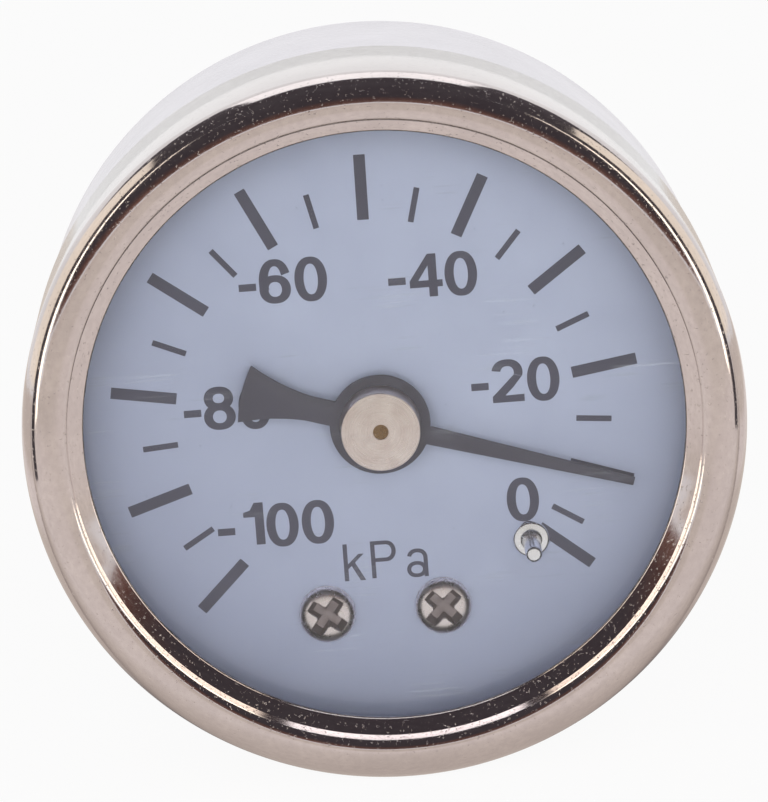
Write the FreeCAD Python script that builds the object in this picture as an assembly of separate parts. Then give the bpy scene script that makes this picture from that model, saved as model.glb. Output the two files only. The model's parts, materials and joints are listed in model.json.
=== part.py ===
import FreeCAD, Part
import math
import os
from FreeCAD import Vector

# Vacuum gauge with a 40 mm class round case and a back thread.
# Millimetres. The dial looks along -Y, +Z is twelve o'clock, the thread runs along +Y.
# The origin is on the thread's axis, at the shoulder that the thread starts from.

# Thread and wrench flats
THREAD_RADIUS = 4.864
THREAD_LENGTH = 10.0
THREAD_CHAMFER = 0.9
FLATS_LENGTH = 8.0
FLATS_WIDTH = 12.0
STEM_RADIUS = 7.2
STEM_EDGE = 0.7
PORT_RADIUS = 1.5
PORT_MOUTH_CHAMFER = 0.3

# Case, a deep drawn cup with a neck at its front
CASE_DEPTH = 24.8
CASE_WALL = 0.6
CASE_CORNER = 2.5
CASE_SLOPE = 0.35
CASE_FRONT_BELOW_CREST = 4.4
STEM_HOLE_CLEARANCE = 0.15

# Bezel ring
BEZEL_RADIUS = 21.25
BEZEL_ROUNDING = 1.9
BEZEL_SKIRT_WALL = 0.6
BEZEL_LENGTH = 10.9
BEZEL_TO_CASE_STEP = 0.3
BEZEL_FIT_CLEARANCE = 0.05
BEZEL_END_GAP = 0.15
BEZEL_FACE_WIDTH = 3.6
FACE_INNER_ANGLE = 48.0
WALL_DRAFT = 0.09
LIP_WIDTH = 0.9
LIP_RISE = 0.8
LIP_EDGE = 0.25
LIP_BACK_CHAMFER = 0.15
OPENING_DEPTH = 2.05
OPENING_LAND = 0.1

# Window and its seal
WINDOW_THICKNESS = 1.2
WINDOW_EDGE_GAP = 0.35
WINDOW_EDGE_CHAMFER = 0.2
GASKET_WIDTH = 1.1

# Dial, and where it sits against the case's axis
DIAL_EDGE_GAP = 1.1
DIAL_THICKNESS = 0.5
DIAL_X = -0.46
DIAL_Z = -0.59
DIAL_ARBOR_HOLE_RADIUS = 1.3
DIAL_SCREW_SPACING = 7.0
DIAL_SCREW_SIDESTEP = -0.32
DIAL_SCREW_INSET = 2.1
DIAL_SCREW_HOLE_RADIUS = 1.15

# M2 dial screws
DIAL_SCREW_RADIUS = 0.8
DIAL_SCREW_LENGTH = 4.5
DIAL_SCREW_HEAD_RADIUS = 1.68
DIAL_SCREW_HEAD_HEIGHT = 1.0
DIAL_SCREW_HEAD_CROWN = 0.45

# Stop pin that the pointer rests on at zero
STOP_PIN_CIRCLE = 12.0
STOP_PIN_ANGLE = 133.3
STOP_PIN_RADIUS = 0.5
STOP_PIN_HEIGHT = 3.95
STOP_PIN_TIP_ROUND = 0.2
STOP_PIN_FLANGE_RADIUS = 1.1
STOP_PIN_FLANGE_HEIGHT = 0.4
STOP_PIN_FLANGE_EDGE = 0.15
STOP_PIN_ROOT_RADIUS = 0.7
STOP_PIN_ROOT_HEIGHT = 0.8
STOP_PIN_TAIL = 0.6
STOP_PIN_RIVET_RADIUS = 0.8
STOP_PIN_WINDOW_GAP = 0.25

# Pointer
PINION_X = -0.26
PINION_Z = -0.69
POINTER_HEIGHT = 1.9
POINTER_THICKNESS = 0.3
POINTER_ANGLE = 107.35
POINTER_LENGTH = 15.55
POINTER_ROOT_WIDTH = 1.25
POINTER_TIP_WIDTH = 0.48
POINTER_BOSS_RADIUS = 3.0
TAIL_LENGTH = 8.45
TAIL_HALF_ANGLE = 12.0
TAIL_NECK_WIDTH = 1.5
TAIL_NECK_RADIUS = 4.4
TAIL_FLANK_HOLLOW = 0.15

# Pointer hub
HUB_BASE_RADIUS = 2.4
HUB_TOP_RADIUS = 2.35
HUB_HEIGHT = 1.95
HUB_EDGE = 0.12
HUB_DIMPLE_RADIUS = 0.75
HUB_DIMPLE_DEPTH = 0.2
HUB_STEM_RADIUS = 1.2
HUB_RIVET_RADIUS = 1.5
HUB_RIVET_HEIGHT = 0.4

# Movement frame
DIAL_TO_MOVEMENT = 2.0
PLATE_THICKNESS = 1.0
PLATE_SPACING = 6.0
PLATE_MARGIN = 2.0
PILLAR_RADIUS = 1.2
PILLAR_TENON_RADIUS = 0.8
PILLAR_PLACES = [(-7.3, -5.6), (-1.0, 7.0), (7.2, -3.2)]
FRAME_SCREW_RADIUS = 0.6
FRAME_SCREW_DEPTH = 2.5
FRAME_SCREW_HEAD_RADIUS = 1.35
FRAME_SCREW_HEAD_HEIGHT = 0.6
MOUNT_SCREW_PLACES = [(-3.6, -7.0), (2.6, 3.4)]
SCREW_HOLE_CLEARANCE = 0.15
SCREW_SLOT_WIDTH = 0.35
SCREW_SLOT_DEPTH = 0.3
SCREW_FLAT_SHARE = 0.5
SCREW_BEND_SHARE = 0.6

# Sector and pinion
GEAR_MODULE = 0.2
PINION_TEETH = 10
SECTOR_FULL_TEETH = 80
SECTOR_DIRECTION = 150.0
SECTOR_FIRST_TOOTH = -8
SECTOR_LAST_TOOTH = 2
PRESSURE_ANGLE = 20.0
TOOTH_BACKLASH = 0.05
SECTOR_ADDENDUM = 0.8
PINION_ADDENDUM = 1.0
SECTOR_DEDENDUM = 1.4
PINION_DEDENDUM = 1.35
TOOTH_FOOT = 0.5
PINION_LENGTH = 2.3
SECTOR_THICKNESS = 0.9
SECTOR_RIM = 1.3
SECTOR_HUB_RADIUS = 1.4
SECTOR_ARM_WIDTH = 1.3
SECTOR_SWING_MIN = -2.7
SECTOR_SWING_MAX = 30.5

# Arbors
PIVOT_RADIUS = 0.4
PIVOT_CLEARANCE = 0.04
SECTOR_ARBOR_RADIUS = 0.8
PINION_ARBOR_RADIUS = 0.7
PINION_NOSE_RADIUS = 0.5
ARBOR_END_SHAKE = 0.1

# Hairspring
SPRING_STRIP = 0.14
SPRING_WIDTH = 0.5
SPRING_PITCH = 0.6
SPRING_HALF_TURNS = 11
SPRING_FRONT_GAP = 0.4
COLLET_RADIUS = 1.2
COLLET_LENGTH = 0.9
SPRING_STUD_RADIUS = 0.5
SPRING_STUD_PROUD = 0.2

# Link and its pins
TAIL_ANGLE = 95.0
TAIL_ARM = 4.5
TAIL_END_RADIUS = 0.95
TIP_PIN_INSET = 2.72
TIP_PIN_ANGLE = 96.9
LINK_THICKNESS = 0.5
LINK_END_RADIUS = 1.0
LINK_PIN_RADIUS = 0.42
LINK_PIN_CLEARANCE = 0.04
OPEN_PIVOT_CLEARANCE = 0.14
LINK_SIDE_GAP = 0.3
LINK_PIN_HEAD_RADIUS = 0.75
LINK_PIN_HEAD_HEIGHT = 0.35
LINK_PIN_HEAD_GAP = 0.1

# Bourdon tube, a flattened tube bent to a C
TUBE_BEND_RADIUS = 14.0
TUBE_WIDTH = 5.0
TUBE_DEPTH = 1.5
TUBE_WALL = 0.25
TUBE_ROOT_ANGLE = -165.0
TUBE_TIP_ANGLE = 100.0
TIP_BLOCK_SWEEP = 8.0
TIP_EAR_THICKNESS = 1.0
TIP_EAR_RADIUS = 0.9
TIP_EAR_ROOT_RADIUS = 0.5
TIP_EAR_ROOT_SWEEP = 6.0

# Socket block inside the case
FLANGE_THICKNESS = 3.4
FLANGE_HALF_WIDTH = 8.5
FLANGE_TOP = 12.6
FLANGE_OUTSIDE_TUBE = 1.4
FLANGE_CORNER = 2.8
PAD_HALF_WIDTH = 6.0
PAD_TOP = 6.0
PAD_BOTTOM = -9.9
TOWER_LEFT = -6.0
TOWER_RIGHT = 4.7
TOWER_INSIDE_TUBE = 3.0
CHANNEL_RADIUS = 0.6
CHANNEL_DEPTH = 1.9
CHANNEL_BEHIND_TUBE = 2.5
RESTRICTOR_LENGTH = 3.0
RESTRICTOR_HOLE_RADIUS = 0.25
RESTRICTOR_INSET = 1.0

# Case screws and vent plug on the back
CASE_SCREW_RADIUS = 1.0
CASE_SCREW_GRIP = 2.7
CASE_SCREW_OFFSET = 10.3
CASE_SCREW_HEAD_RADIUS = 2.0
CASE_SCREW_HEAD_HEIGHT = 1.3
CASE_SCREW_CROWN = 0.6
VENT_X = -11.6
VENT_Z = 9.2
VENT_NECK_RADIUS = 1.9
VENT_FLANGE_RADIUS = 2.5
VENT_BARB_RADIUS = 2.3
VENT_TIP_RADIUS = 1.6
VENT_FLANGE_HEIGHT = 0.8
VENT_BARB_HEIGHT = 1.0
VENT_DOME = 0.35

# Places along the axis, from the back of the case to the bezel's crest
case_back = -FLATS_LENGTH
case_floor = case_back - CASE_WALL
crest = case_back - CASE_DEPTH
window_front = crest + OPENING_DEPTH + OPENING_LAND + LIP_BACK_CHAMFER
window_back = window_front + WINDOW_THICKNESS
case_front = crest + CASE_FRONT_BELOW_CREST
dial_front = window_back + STOP_PIN_WINDOW_GAP + STOP_PIN_HEIGHT
dial_back = dial_front + DIAL_THICKNESS
pointer_front = dial_front - POINTER_HEIGHT
pointer_back = pointer_front + POINTER_THICKNESS
front_plate_front = dial_back + DIAL_TO_MOVEMENT
front_plate_back = front_plate_front + PLATE_THICKNESS
back_plate_front = front_plate_back + PLATE_SPACING
back_plate_back = back_plate_front + PLATE_THICKNESS
spring_front = front_plate_back + SPRING_FRONT_GAP
spring_back = spring_front + SPRING_WIDTH
collet_front = spring_front - (COLLET_LENGTH - SPRING_WIDTH) / 2
collet_back = collet_front + COLLET_LENGTH
pinion_front = collet_back + 2 * ARBOR_END_SHAKE
pinion_back = pinion_front + PINION_LENGTH
sector_front = (pinion_front + pinion_back - SECTOR_THICKNESS) / 2
sector_back = sector_front + SECTOR_THICKNESS
link_front = sector_back + LINK_SIDE_GAP
link_back = link_front + LINK_THICKNESS
ear_front = link_back + LINK_SIDE_GAP
ear_back = ear_front + TIP_EAR_THICKNESS
tube_plane = (ear_front + ear_back) / 2
flange_front = case_floor - FLANGE_THICKNESS

# Radii that follow from the driving ones
opening_radius = BEZEL_RADIUS - BEZEL_FACE_WIDTH
case_radius = BEZEL_RADIUS - BEZEL_TO_CASE_STEP
skirt_bore = BEZEL_RADIUS - BEZEL_SKIRT_WALL
neck_radius = skirt_bore - BEZEL_FIT_CLEARANCE
window_radius = skirt_bore - WINDOW_EDGE_GAP
dial_radius = neck_radius - CASE_WALL - DIAL_EDGE_GAP
dial_screw_drop = TUBE_BEND_RADIUS - DIAL_SCREW_INSET
tower_top = TOWER_INSIDE_TUBE - TUBE_BEND_RADIUS
flange_bottom = -TUBE_BEND_RADIUS - FLANGE_OUTSIDE_TUBE
pinion_pitch = GEAR_MODULE * PINION_TEETH / 2
sector_pitch = GEAR_MODULE * SECTOR_FULL_TEETH / 2
spring_inner_radius = COLLET_RADIUS + SPRING_STRIP / 2 + SPRING_PITCH / 4
full_turn = 360.0


def clock(radius, degrees, centre=(0.0, 0.0)):
    """Point (x, z) at a clock angle seen from the front, zero at twelve, growing clockwise."""
    angle = math.radians(degrees)
    return (centre[0] + radius * math.sin(angle), centre[1] + radius * math.cos(angle))


def clock_angle(start, end):
    """Clock angle of the direction from one (x, z) point to another."""
    return math.degrees(math.atan2(end[0] - start[0], end[1] - start[1]))


axis = (0.0, 0.0)
pinion_place = (PINION_X, PINION_Z)
dial_centre = (DIAL_X, DIAL_Z)
sector_place = clock(pinion_pitch + sector_pitch, SECTOR_DIRECTION, pinion_place)
tail_pin_place = clock(TAIL_ARM, TAIL_ANGLE, sector_place)
tip_pin_place = clock(TUBE_BEND_RADIUS - TIP_PIN_INSET, TIP_PIN_ANGLE)
stop_pin_place = clock(STOP_PIN_CIRCLE, STOP_PIN_ANGLE, dial_centre)
dial_screw_places = [
    (DIAL_X + DIAL_SCREW_SIDESTEP + side * DIAL_SCREW_SPACING / 2, DIAL_Z - dial_screw_drop)
    for side in (-1, 1)
]
case_screw_places = [(0.0, side * CASE_SCREW_OFFSET) for side in (-1, 1)]
vent_place = (VENT_X, VENT_Z)
spring_end_place = (
    PINION_X + SPRING_PITCH / 4 + spring_inner_radius + (SPRING_HALF_TURNS - 1) * SPRING_PITCH / 2,
    PINION_Z,
)


def outline(start, steps):
    """Closed wire from 3-D points. A step is a point for a line, or (via, end) for an arc."""
    edges = []
    here = start
    for step in steps:
        if isinstance(step, tuple):
            edges.append(Part.Arc(here, step[0], step[1]).toShape())
            here = step[1]
        else:
            edges.append(Part.LineSegment(here, step).toShape())
            here = step
    if here.distanceToPoint(start) > 1e-7:
        edges.append(Part.LineSegment(here, start).toShape())
    return Part.Wire(edges)


def turned(start, steps, centre=axis, sweep=full_turn):
    """Solid turned about an axis along Y. Points are (radius, y)."""
    def place(point):
        return Vector(centre[0] + point[0], point[1], centre[1])
    placed = []
    for step in steps:
        if isinstance(step[0], tuple):
            placed.append((place(step[0]), place(step[1])))
        else:
            placed.append(place(step))
    face = Part.Face(outline(place(start), placed))
    return face.revolve(Vector(centre[0], 0, centre[1]), Vector(0, 1, 0), sweep)


def rod(radius, front, back, place=axis):
    """Round bar along Y."""
    return Part.makeCylinder(radius, back - front, Vector(place[0], front, place[1]), Vector(0, 1, 0))


def drilled(shape, radius, front, back, places):
    """Shape with round holes along Y."""
    for place in places:
        shape = shape.cut(rod(radius, front, back, place))
    return shape


def one_compound(shapes):
    return shapes[0] if len(shapes) == 1 else Part.makeCompound(shapes)


def rounded_hull(circles, front, back):
    """Flat piece whose outline wraps circles, given clockwise as (place, radius)."""
    normals = []
    count = len(circles)
    for i in range(count):
        (here, radius), (there, next_radius) = circles[i], circles[(i + 1) % count]
        span = math.hypot(there[0] - here[0], there[1] - here[1])
        lean = math.degrees(math.acos((radius - next_radius) / span))
        normals.append(clock_angle(here, there) - lean)
    steps = []
    start = None
    for i in range(count):
        place, radius = circles[i]
        arriving = normals[i - 1]
        turn = (normals[i] - arriving) % full_turn
        arc = [clock(radius, arriving + turn * part, place) for part in (0.0, 0.5, 1.0)]
        first, middle, last = [Vector(p[0], front, p[1]) for p in arc]
        if start is None:
            start = first
        else:
            steps.append(first)
        steps.append((middle, last))
    return Part.Face(outline(start, steps)).extrude(Vector(0, back - front, 0))


def screw_head(radius, height, crown, base, toward, place):
    """Pan head that stands on base, with a domed top. toward is -1 for the front, 1 for the back."""
    top = base + toward * height
    shoulder = base + toward * (height - crown)
    flat = radius * SCREW_FLAT_SHARE
    middle = (
        flat + (radius - flat) * SCREW_BEND_SHARE,
        base + toward * (height - crown * (1 - SCREW_BEND_SHARE)),
    )
    steps = [(radius, base), (radius, shoulder), (middle, (flat, top)), (0, top)]
    return turned((0, base), steps, place)


def dome_middle(radius, rim, top):
    """Point halfway up a spherical dome, as (radius, y)."""
    rise = top - rim
    sphere = (radius * radius + rise * rise) / (2 * rise)
    half = radius / 2
    return (half, top - sphere + math.copysign(math.sqrt(sphere * sphere - half * half), sphere))


def slotted(shape, place, face, toward_back):
    """Screw with a straight driver slot cut in the face at y = face."""
    depth = SCREW_SLOT_DEPTH if toward_back else -SCREW_SLOT_DEPTH
    low = min(face, face + depth)
    reach = 2 * CASE_SCREW_HEAD_RADIUS
    corner = Vector(place[0] - reach, low, place[1] - SCREW_SLOT_WIDTH / 2)
    return shape.cut(Part.makeBox(2 * reach, SCREW_SLOT_DEPTH, SCREW_SLOT_WIDTH, corner))


def involute(angle):
    return math.tan(angle) - angle


def tooth(teeth, addendum, dedendum, centre, direction, front, back):
    """One gear tooth with involute flanks, and a foot that sinks into the gear's rim."""
    pitch = GEAR_MODULE * teeth / 2
    base = pitch * math.cos(math.radians(PRESSURE_ANGLE))
    tip = pitch + GEAR_MODULE * addendum
    foot = pitch - GEAR_MODULE * (dedendum + TOOTH_FOOT)

    def half_angle(radius):
        at_base = math.acos(min(1.0, base / max(radius, base)))
        half = math.pi / (2 * teeth) - TOOTH_BACKLASH / (4 * pitch)
        return math.degrees(half + involute(math.radians(PRESSURE_ANGLE)) - involute(at_base))

    flank_foot = max(base, pitch - GEAR_MODULE * dedendum)
    flank = [flank_foot, (flank_foot + tip) / 2, tip]

    def spot(radius, side):
        point = clock(radius, direction + side * half_angle(radius), centre)
        return Vector(point[0], front, point[1])

    steps = [spot(flank[0], -1), (spot(flank[1], -1), spot(flank[2], -1))]
    steps += [spot(tip, 1), (spot(flank[1], 1), spot(flank[0], 1)), spot(foot, 1)]
    return Part.Face(outline(spot(foot, -1), steps)).extrude(Vector(0, back - front, 0))


def stadium(width, depth, plane, start_angle, sweep):
    """Bar with a flattened oval section, bent about the case's axis at the tube's bend radius."""
    half_depth = depth / 2
    straight = width / 2 - half_depth
    inner = TUBE_BEND_RADIUS - half_depth
    outer = TUBE_BEND_RADIUS + half_depth
    front = ((TUBE_BEND_RADIUS, plane - width / 2), (outer, plane - straight))
    back = ((TUBE_BEND_RADIUS, plane + width / 2), (inner, plane + straight))
    bar = turned((inner, plane - straight), [front, (outer, plane + straight), back], axis, sweep)
    bar.rotate(Vector(0, 0, 0), Vector(0, 1, 0), start_angle - 90.0)
    return bar


# Bezel ring, pressed over the case's neck. Its face rounds over outward and inward from the crest.
# A steep wall leads down from the face to a conical lip, whose rounded edge holds the window.
crest_radius = BEZEL_RADIUS - BEZEL_ROUNDING
diagonal = math.sqrt(0.5)
rounding_middle = (
    crest_radius + BEZEL_ROUNDING * diagonal,
    crest + BEZEL_ROUNDING * (1 - diagonal),
)
lip_corner = (opening_radius + LIP_WIDTH, crest + OPENING_DEPTH - LIP_RISE)
lip_centre = (opening_radius + LIP_EDGE, crest + OPENING_DEPTH)
lip_across = lip_corner[0] - lip_centre[0]
lip_down = lip_centre[1] - lip_corner[1]
lip_lean = math.atan2(lip_down, lip_across) - math.asin(LIP_EDGE / math.hypot(lip_across, lip_down))
lip_edge = []
for lean in ((lip_lean + math.pi / 2) / 2, lip_lean):
    lip_edge.append((lip_centre[0] - LIP_EDGE * math.sin(lean), lip_centre[1] - LIP_EDGE * math.cos(lean)))
face_inner_radius = lip_corner[0] + WALL_DRAFT
face_inner_angle = math.radians(FACE_INNER_ANGLE)
face_inner_rounding = (crest_radius - face_inner_radius) / math.sin(face_inner_angle)
face_inner = []
for lean in (face_inner_angle, face_inner_angle / 2):
    face_inner.append((
        crest_radius - face_inner_rounding * math.sin(lean),
        crest + face_inner_rounding * (1 - math.cos(lean)),
    ))
bezel_steps = [
    (rounding_middle, (BEZEL_RADIUS, crest + BEZEL_ROUNDING)),
    (BEZEL_RADIUS, crest + BEZEL_LENGTH),
    (skirt_bore, crest + BEZEL_LENGTH),
    (skirt_bore, window_front),
    (opening_radius + LIP_BACK_CHAMFER, window_front),
    (opening_radius, crest + OPENING_DEPTH + OPENING_LAND),
    (opening_radius, crest + OPENING_DEPTH),
    (lip_edge[0], lip_edge[1]),
    lip_corner,
    face_inner[0],
    (face_inner[1], (crest_radius, crest)),
]
bezel_ring = turned((crest_radius, crest), bezel_steps)

# Window, a clear disc held between the bezel's lip and the seal.
window_steps = [
    (window_radius - WINDOW_EDGE_CHAMFER, window_front),
    (window_radius, window_front + WINDOW_EDGE_CHAMFER),
    (window_radius, window_back),
    (0, window_back),
]
window = turned((0, window_front), window_steps)

# Seal between the window and the case's front edge.
gasket_steps = [
    (window_radius, window_back),
    (window_radius, case_front),
    (window_radius - GASKET_WIDTH, case_front),
]
window_gasket = turned((window_radius - GASKET_WIDTH, window_back), gasket_steps)

# Case, with a neck for the bezel, a rounded back edge and holes for the stem, screws and vent.
stem_hole = STEM_RADIUS + STEM_HOLE_CLEARANCE
neck_end = crest + BEZEL_LENGTH + BEZEL_END_GAP
corner_middle = (
    case_radius - CASE_CORNER * (1 - diagonal),
    case_back - CASE_CORNER * (1 - diagonal),
)
floor_corner = CASE_CORNER - CASE_WALL
floor_middle = (
    case_radius - CASE_WALL - floor_corner * (1 - diagonal),
    case_floor - floor_corner * (1 - diagonal),
)
case_steps = [
    (case_radius - CASE_CORNER, case_back),
    (corner_middle, (case_radius, case_back - CASE_CORNER)),
    (case_radius, neck_end + CASE_SLOPE),
    (neck_radius, neck_end),
    (neck_radius, case_front),
    (neck_radius - CASE_WALL, case_front),
    (neck_radius - CASE_WALL, neck_end + CASE_SLOPE),
    (case_radius - CASE_WALL, neck_end + 2 * CASE_SLOPE),
    (case_radius - CASE_WALL, case_floor - floor_corner),
    (floor_middle, (case_radius - CASE_CORNER, case_floor)),
    (stem_hole, case_floor),
]
case = turned((stem_hole, case_back), case_steps)
case_screw_hole = CASE_SCREW_RADIUS + 2 * SCREW_HOLE_CLEARANCE
case = drilled(case, case_screw_hole, case_floor, case_back, case_screw_places)
case = drilled(case, VENT_NECK_RADIUS, case_floor, case_back, [vent_place])

# Dial plate, with holes for the arbor, its screws and the stop pin.
dial_plate = rod(dial_radius, dial_front, dial_back, dial_centre)
dial_plate = drilled(dial_plate, DIAL_ARBOR_HOLE_RADIUS, dial_front, dial_back, [pinion_place])
dial_plate = drilled(dial_plate, DIAL_SCREW_HOLE_RADIUS, dial_front, dial_back, dial_screw_places)
dial_plate = drilled(dial_plate, STOP_PIN_RADIUS, dial_front, dial_back, [stop_pin_place])

# Two pan head screws that hold the dial to the socket's tower.
dial_screws = []
for place in dial_screw_places:
    head = screw_head(
        DIAL_SCREW_HEAD_RADIUS, DIAL_SCREW_HEAD_HEIGHT, DIAL_SCREW_HEAD_CROWN, dial_front, -1, place)
    dial_screws.append(head.fuse(rod(DIAL_SCREW_RADIUS, dial_front, dial_front + DIAL_SCREW_LENGTH, place)))

# Stop pin with a flange, riveted behind the dial.
pin_top = dial_front - STOP_PIN_HEIGHT
pin_flange = dial_front - STOP_PIN_FLANGE_HEIGHT
pin_round_middle = (
    STOP_PIN_RADIUS - STOP_PIN_TIP_ROUND * (1 - diagonal),
    pin_top + STOP_PIN_TIP_ROUND * (1 - diagonal),
)
pin_steps = [
    (STOP_PIN_RADIUS - STOP_PIN_TIP_ROUND, pin_top),
    (pin_round_middle, (STOP_PIN_RADIUS, pin_top + STOP_PIN_TIP_ROUND)),
    (STOP_PIN_RADIUS, pin_flange - STOP_PIN_ROOT_HEIGHT),
    (STOP_PIN_ROOT_RADIUS, pin_flange),
    (STOP_PIN_FLANGE_RADIUS - STOP_PIN_FLANGE_EDGE, pin_flange),
    (STOP_PIN_FLANGE_RADIUS, pin_flange + STOP_PIN_FLANGE_EDGE),
    (STOP_PIN_FLANGE_RADIUS, dial_front),
    (STOP_PIN_RADIUS, dial_front),
    (STOP_PIN_RADIUS, dial_back),
    (STOP_PIN_RIVET_RADIUS, dial_back),
    (STOP_PIN_RADIUS, dial_back + STOP_PIN_TAIL),
    (0, dial_back + STOP_PIN_TAIL),
]
stop_pin = turned((0, pin_top), pin_steps, stop_pin_place)

# Bourdon tube, hollow, open into the socket's channel at its root.
tube_sweep = TUBE_TIP_ANGLE - TUBE_ROOT_ANGLE
tube_outside = stadium(TUBE_WIDTH, TUBE_DEPTH, tube_plane, TUBE_ROOT_ANGLE, tube_sweep)
tube_inside = stadium(
    TUBE_WIDTH - 2 * TUBE_WALL, TUBE_DEPTH - 2 * TUBE_WALL, tube_plane, TUBE_ROOT_ANGLE, tube_sweep)
bourdon_tube = tube_outside.cut(tube_inside)

# End piece that closes the tube, with an ear that carries the link.
tube_tip = stadium(TUBE_WIDTH, TUBE_DEPTH, tube_plane, TUBE_TIP_ANGLE, TIP_BLOCK_SWEEP)
ear_root = clock(TUBE_BEND_RADIUS, TUBE_TIP_ANGLE + TIP_EAR_ROOT_SWEEP)
ear = rounded_hull(
    [(tip_pin_place, TIP_EAR_RADIUS), (ear_root, TIP_EAR_ROOT_RADIUS)], ear_front, ear_back)
tube_tip = tube_tip.fuse(ear)
tube_tip = drilled(tube_tip, LINK_PIN_RADIUS, ear_front, ear_back, [tip_pin_place])


def link_pin(place, seat_back, front):
    """Pin with a head at its front end, fixed at its back end."""
    shank = rod(LINK_PIN_RADIUS, front, seat_back, place)
    return shank.fuse(rod(LINK_PIN_HEAD_RADIUS, front - LINK_PIN_HEAD_HEIGHT, front, place))


tip_pin = link_pin(tip_pin_place, ear_back, link_front - LINK_PIN_HEAD_GAP)

# Link between the tube's tip and the sector's tail.
link = rounded_hull(
    [(tip_pin_place, LINK_END_RADIUS), (tail_pin_place, LINK_END_RADIUS)], link_front, link_back)
link = drilled(link, LINK_PIN_RADIUS + LINK_PIN_CLEARANCE, link_front, link_back, [tip_pin_place])
link = drilled(link, LINK_PIN_RADIUS + OPEN_PIVOT_CLEARANCE, link_front, link_back, [tail_pin_place])

# Sector gear: a toothed rim on two arms, a hub, and a tail for the link.
contact = SECTOR_DIRECTION + 180.0
tooth_step = full_turn / SECTOR_FULL_TEETH
rim_outer = sector_pitch - GEAR_MODULE * SECTOR_DEDENDUM
rim_middle = rim_outer - SECTOR_RIM / 2
rim_from = contact + (SECTOR_FIRST_TOOTH - 0.5) * tooth_step
rim_to = contact + (SECTOR_LAST_TOOTH + 0.5) * tooth_step
rim_steps = [
    (rim_outer, sector_front), (rim_outer, sector_back), (rim_outer - SECTOR_RIM, sector_back)]
rim = turned((rim_outer - SECTOR_RIM, sector_front), rim_steps, sector_place, rim_to - rim_from)
rim.rotate(Vector(sector_place[0], 0, sector_place[1]), Vector(0, 1, 0), rim_from - 90.0)
sector_teeth = [
    tooth(SECTOR_FULL_TEETH, SECTOR_ADDENDUM, SECTOR_DEDENDUM, sector_place,
          contact + k * tooth_step, sector_front, sector_back)
    for k in range(SECTOR_FIRST_TOOTH, SECTOR_LAST_TOOTH + 1)
]
arm_inset = math.degrees(SECTOR_ARM_WIDTH / 2 / rim_middle)
arms = []
for direction in (rim_from + arm_inset, rim_to - arm_inset):
    end = (clock(rim_middle, direction, sector_place), SECTOR_ARM_WIDTH / 2)
    arms.append(rounded_hull([(sector_place, SECTOR_ARM_WIDTH / 2), end], sector_front, sector_back))
tail = rounded_hull(
    [(sector_place, SECTOR_HUB_RADIUS), (tail_pin_place, TAIL_END_RADIUS)], sector_front, sector_back)
sector_gear = rim.multiFuse(sector_teeth + arms + [tail]).removeSplitter()
sector_gear = drilled(sector_gear, SECTOR_ARBOR_RADIUS, sector_front, sector_back, [sector_place])
sector_gear = drilled(sector_gear, LINK_PIN_RADIUS, sector_front, sector_back, [tail_pin_place])

# Pin on the sector's tail. Its head is behind the link.
tail_head_front = link_back + LINK_PIN_HEAD_GAP
sector_pin = rod(LINK_PIN_RADIUS, sector_front, tail_head_front, tail_pin_place)
sector_pin = sector_pin.fuse(
    rod(LINK_PIN_HEAD_RADIUS, tail_head_front, tail_head_front + LINK_PIN_HEAD_HEIGHT, tail_pin_place))

# Sector arbor, which turns in both plates.
arbor_front = front_plate_back + ARBOR_END_SHAKE
arbor_back = back_plate_front - ARBOR_END_SHAKE
sector_arbor = rod(SECTOR_ARBOR_RADIUS, arbor_front, arbor_back, sector_place)
sector_arbor = sector_arbor.fuse(rod(PIVOT_RADIUS, front_plate_front, back_plate_back, sector_place))

# Pinion cut on its arbor. Its nose carries the pointer.
hub_top = pointer_front - HUB_HEIGHT
hub_rivet_back = pointer_back + HUB_RIVET_HEIGHT
pinion_root = pinion_pitch - GEAR_MODULE * PINION_DEDENDUM
pinion_arbor = rod(PINION_ARBOR_RADIUS, hub_rivet_back, pinion_front, pinion_place)
nose = rod(PINION_NOSE_RADIUS, hub_top + HUB_DIMPLE_DEPTH / 2, hub_rivet_back, pinion_place)
pinion_core = rod(pinion_root, pinion_front, pinion_back, pinion_place)
pinion_pivot = rod(PIVOT_RADIUS, pinion_back, back_plate_back, pinion_place)
pinion_step = full_turn / PINION_TEETH
pinion_teeth = [
    tooth(PINION_TEETH, PINION_ADDENDUM, PINION_DEDENDUM, pinion_place,
          SECTOR_DIRECTION + (k + 0.5) * pinion_step, pinion_front, pinion_back)
    for k in range(PINION_TEETH)
]
pinion_arbor = pinion_arbor.multiFuse([nose, pinion_core, pinion_pivot] + pinion_teeth).removeSplitter()

# Collet that grips the hairspring's inner end.
hairspring_collet = rod(COLLET_RADIUS, collet_front, collet_back, pinion_place)
hairspring_collet = drilled(
    hairspring_collet, PINION_ARBOR_RADIUS, collet_front, collet_back, [pinion_place])


def spiral_side(offset):
    """Half circles of a flat spiral, each a little larger, on centres that take turns."""
    arcs = []
    for i in range(SPRING_HALF_TURNS):
        side = 1 if i % 2 == 0 else -1
        radius = spring_inner_radius + i * SPRING_PITCH / 2 + offset
        centre = (PINION_X + side * SPRING_PITCH / 4, PINION_Z)
        points = [clock(radius, side * angle, centre) for angle in (-90.0, 0.0, 90.0)]
        if side < 0:
            points[1] = clock(radius, 180.0, centre)
        arcs.append([Vector(p[0], spring_front, p[1]) for p in points])
    return arcs


# Hairspring, a flat spiral from the collet to the stud.
outer_side = spiral_side(SPRING_STRIP / 2)
inner_side = spiral_side(-SPRING_STRIP / 2)
spring_steps = [(arc[1], arc[2]) for arc in outer_side]
spring_steps.append(inner_side[-1][2])
spring_steps += [(arc[1], arc[0]) for arc in reversed(inner_side)]
hairspring = Part.Face(outline(outer_side[0][0], spring_steps)).extrude(Vector(0, SPRING_WIDTH, 0))

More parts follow.
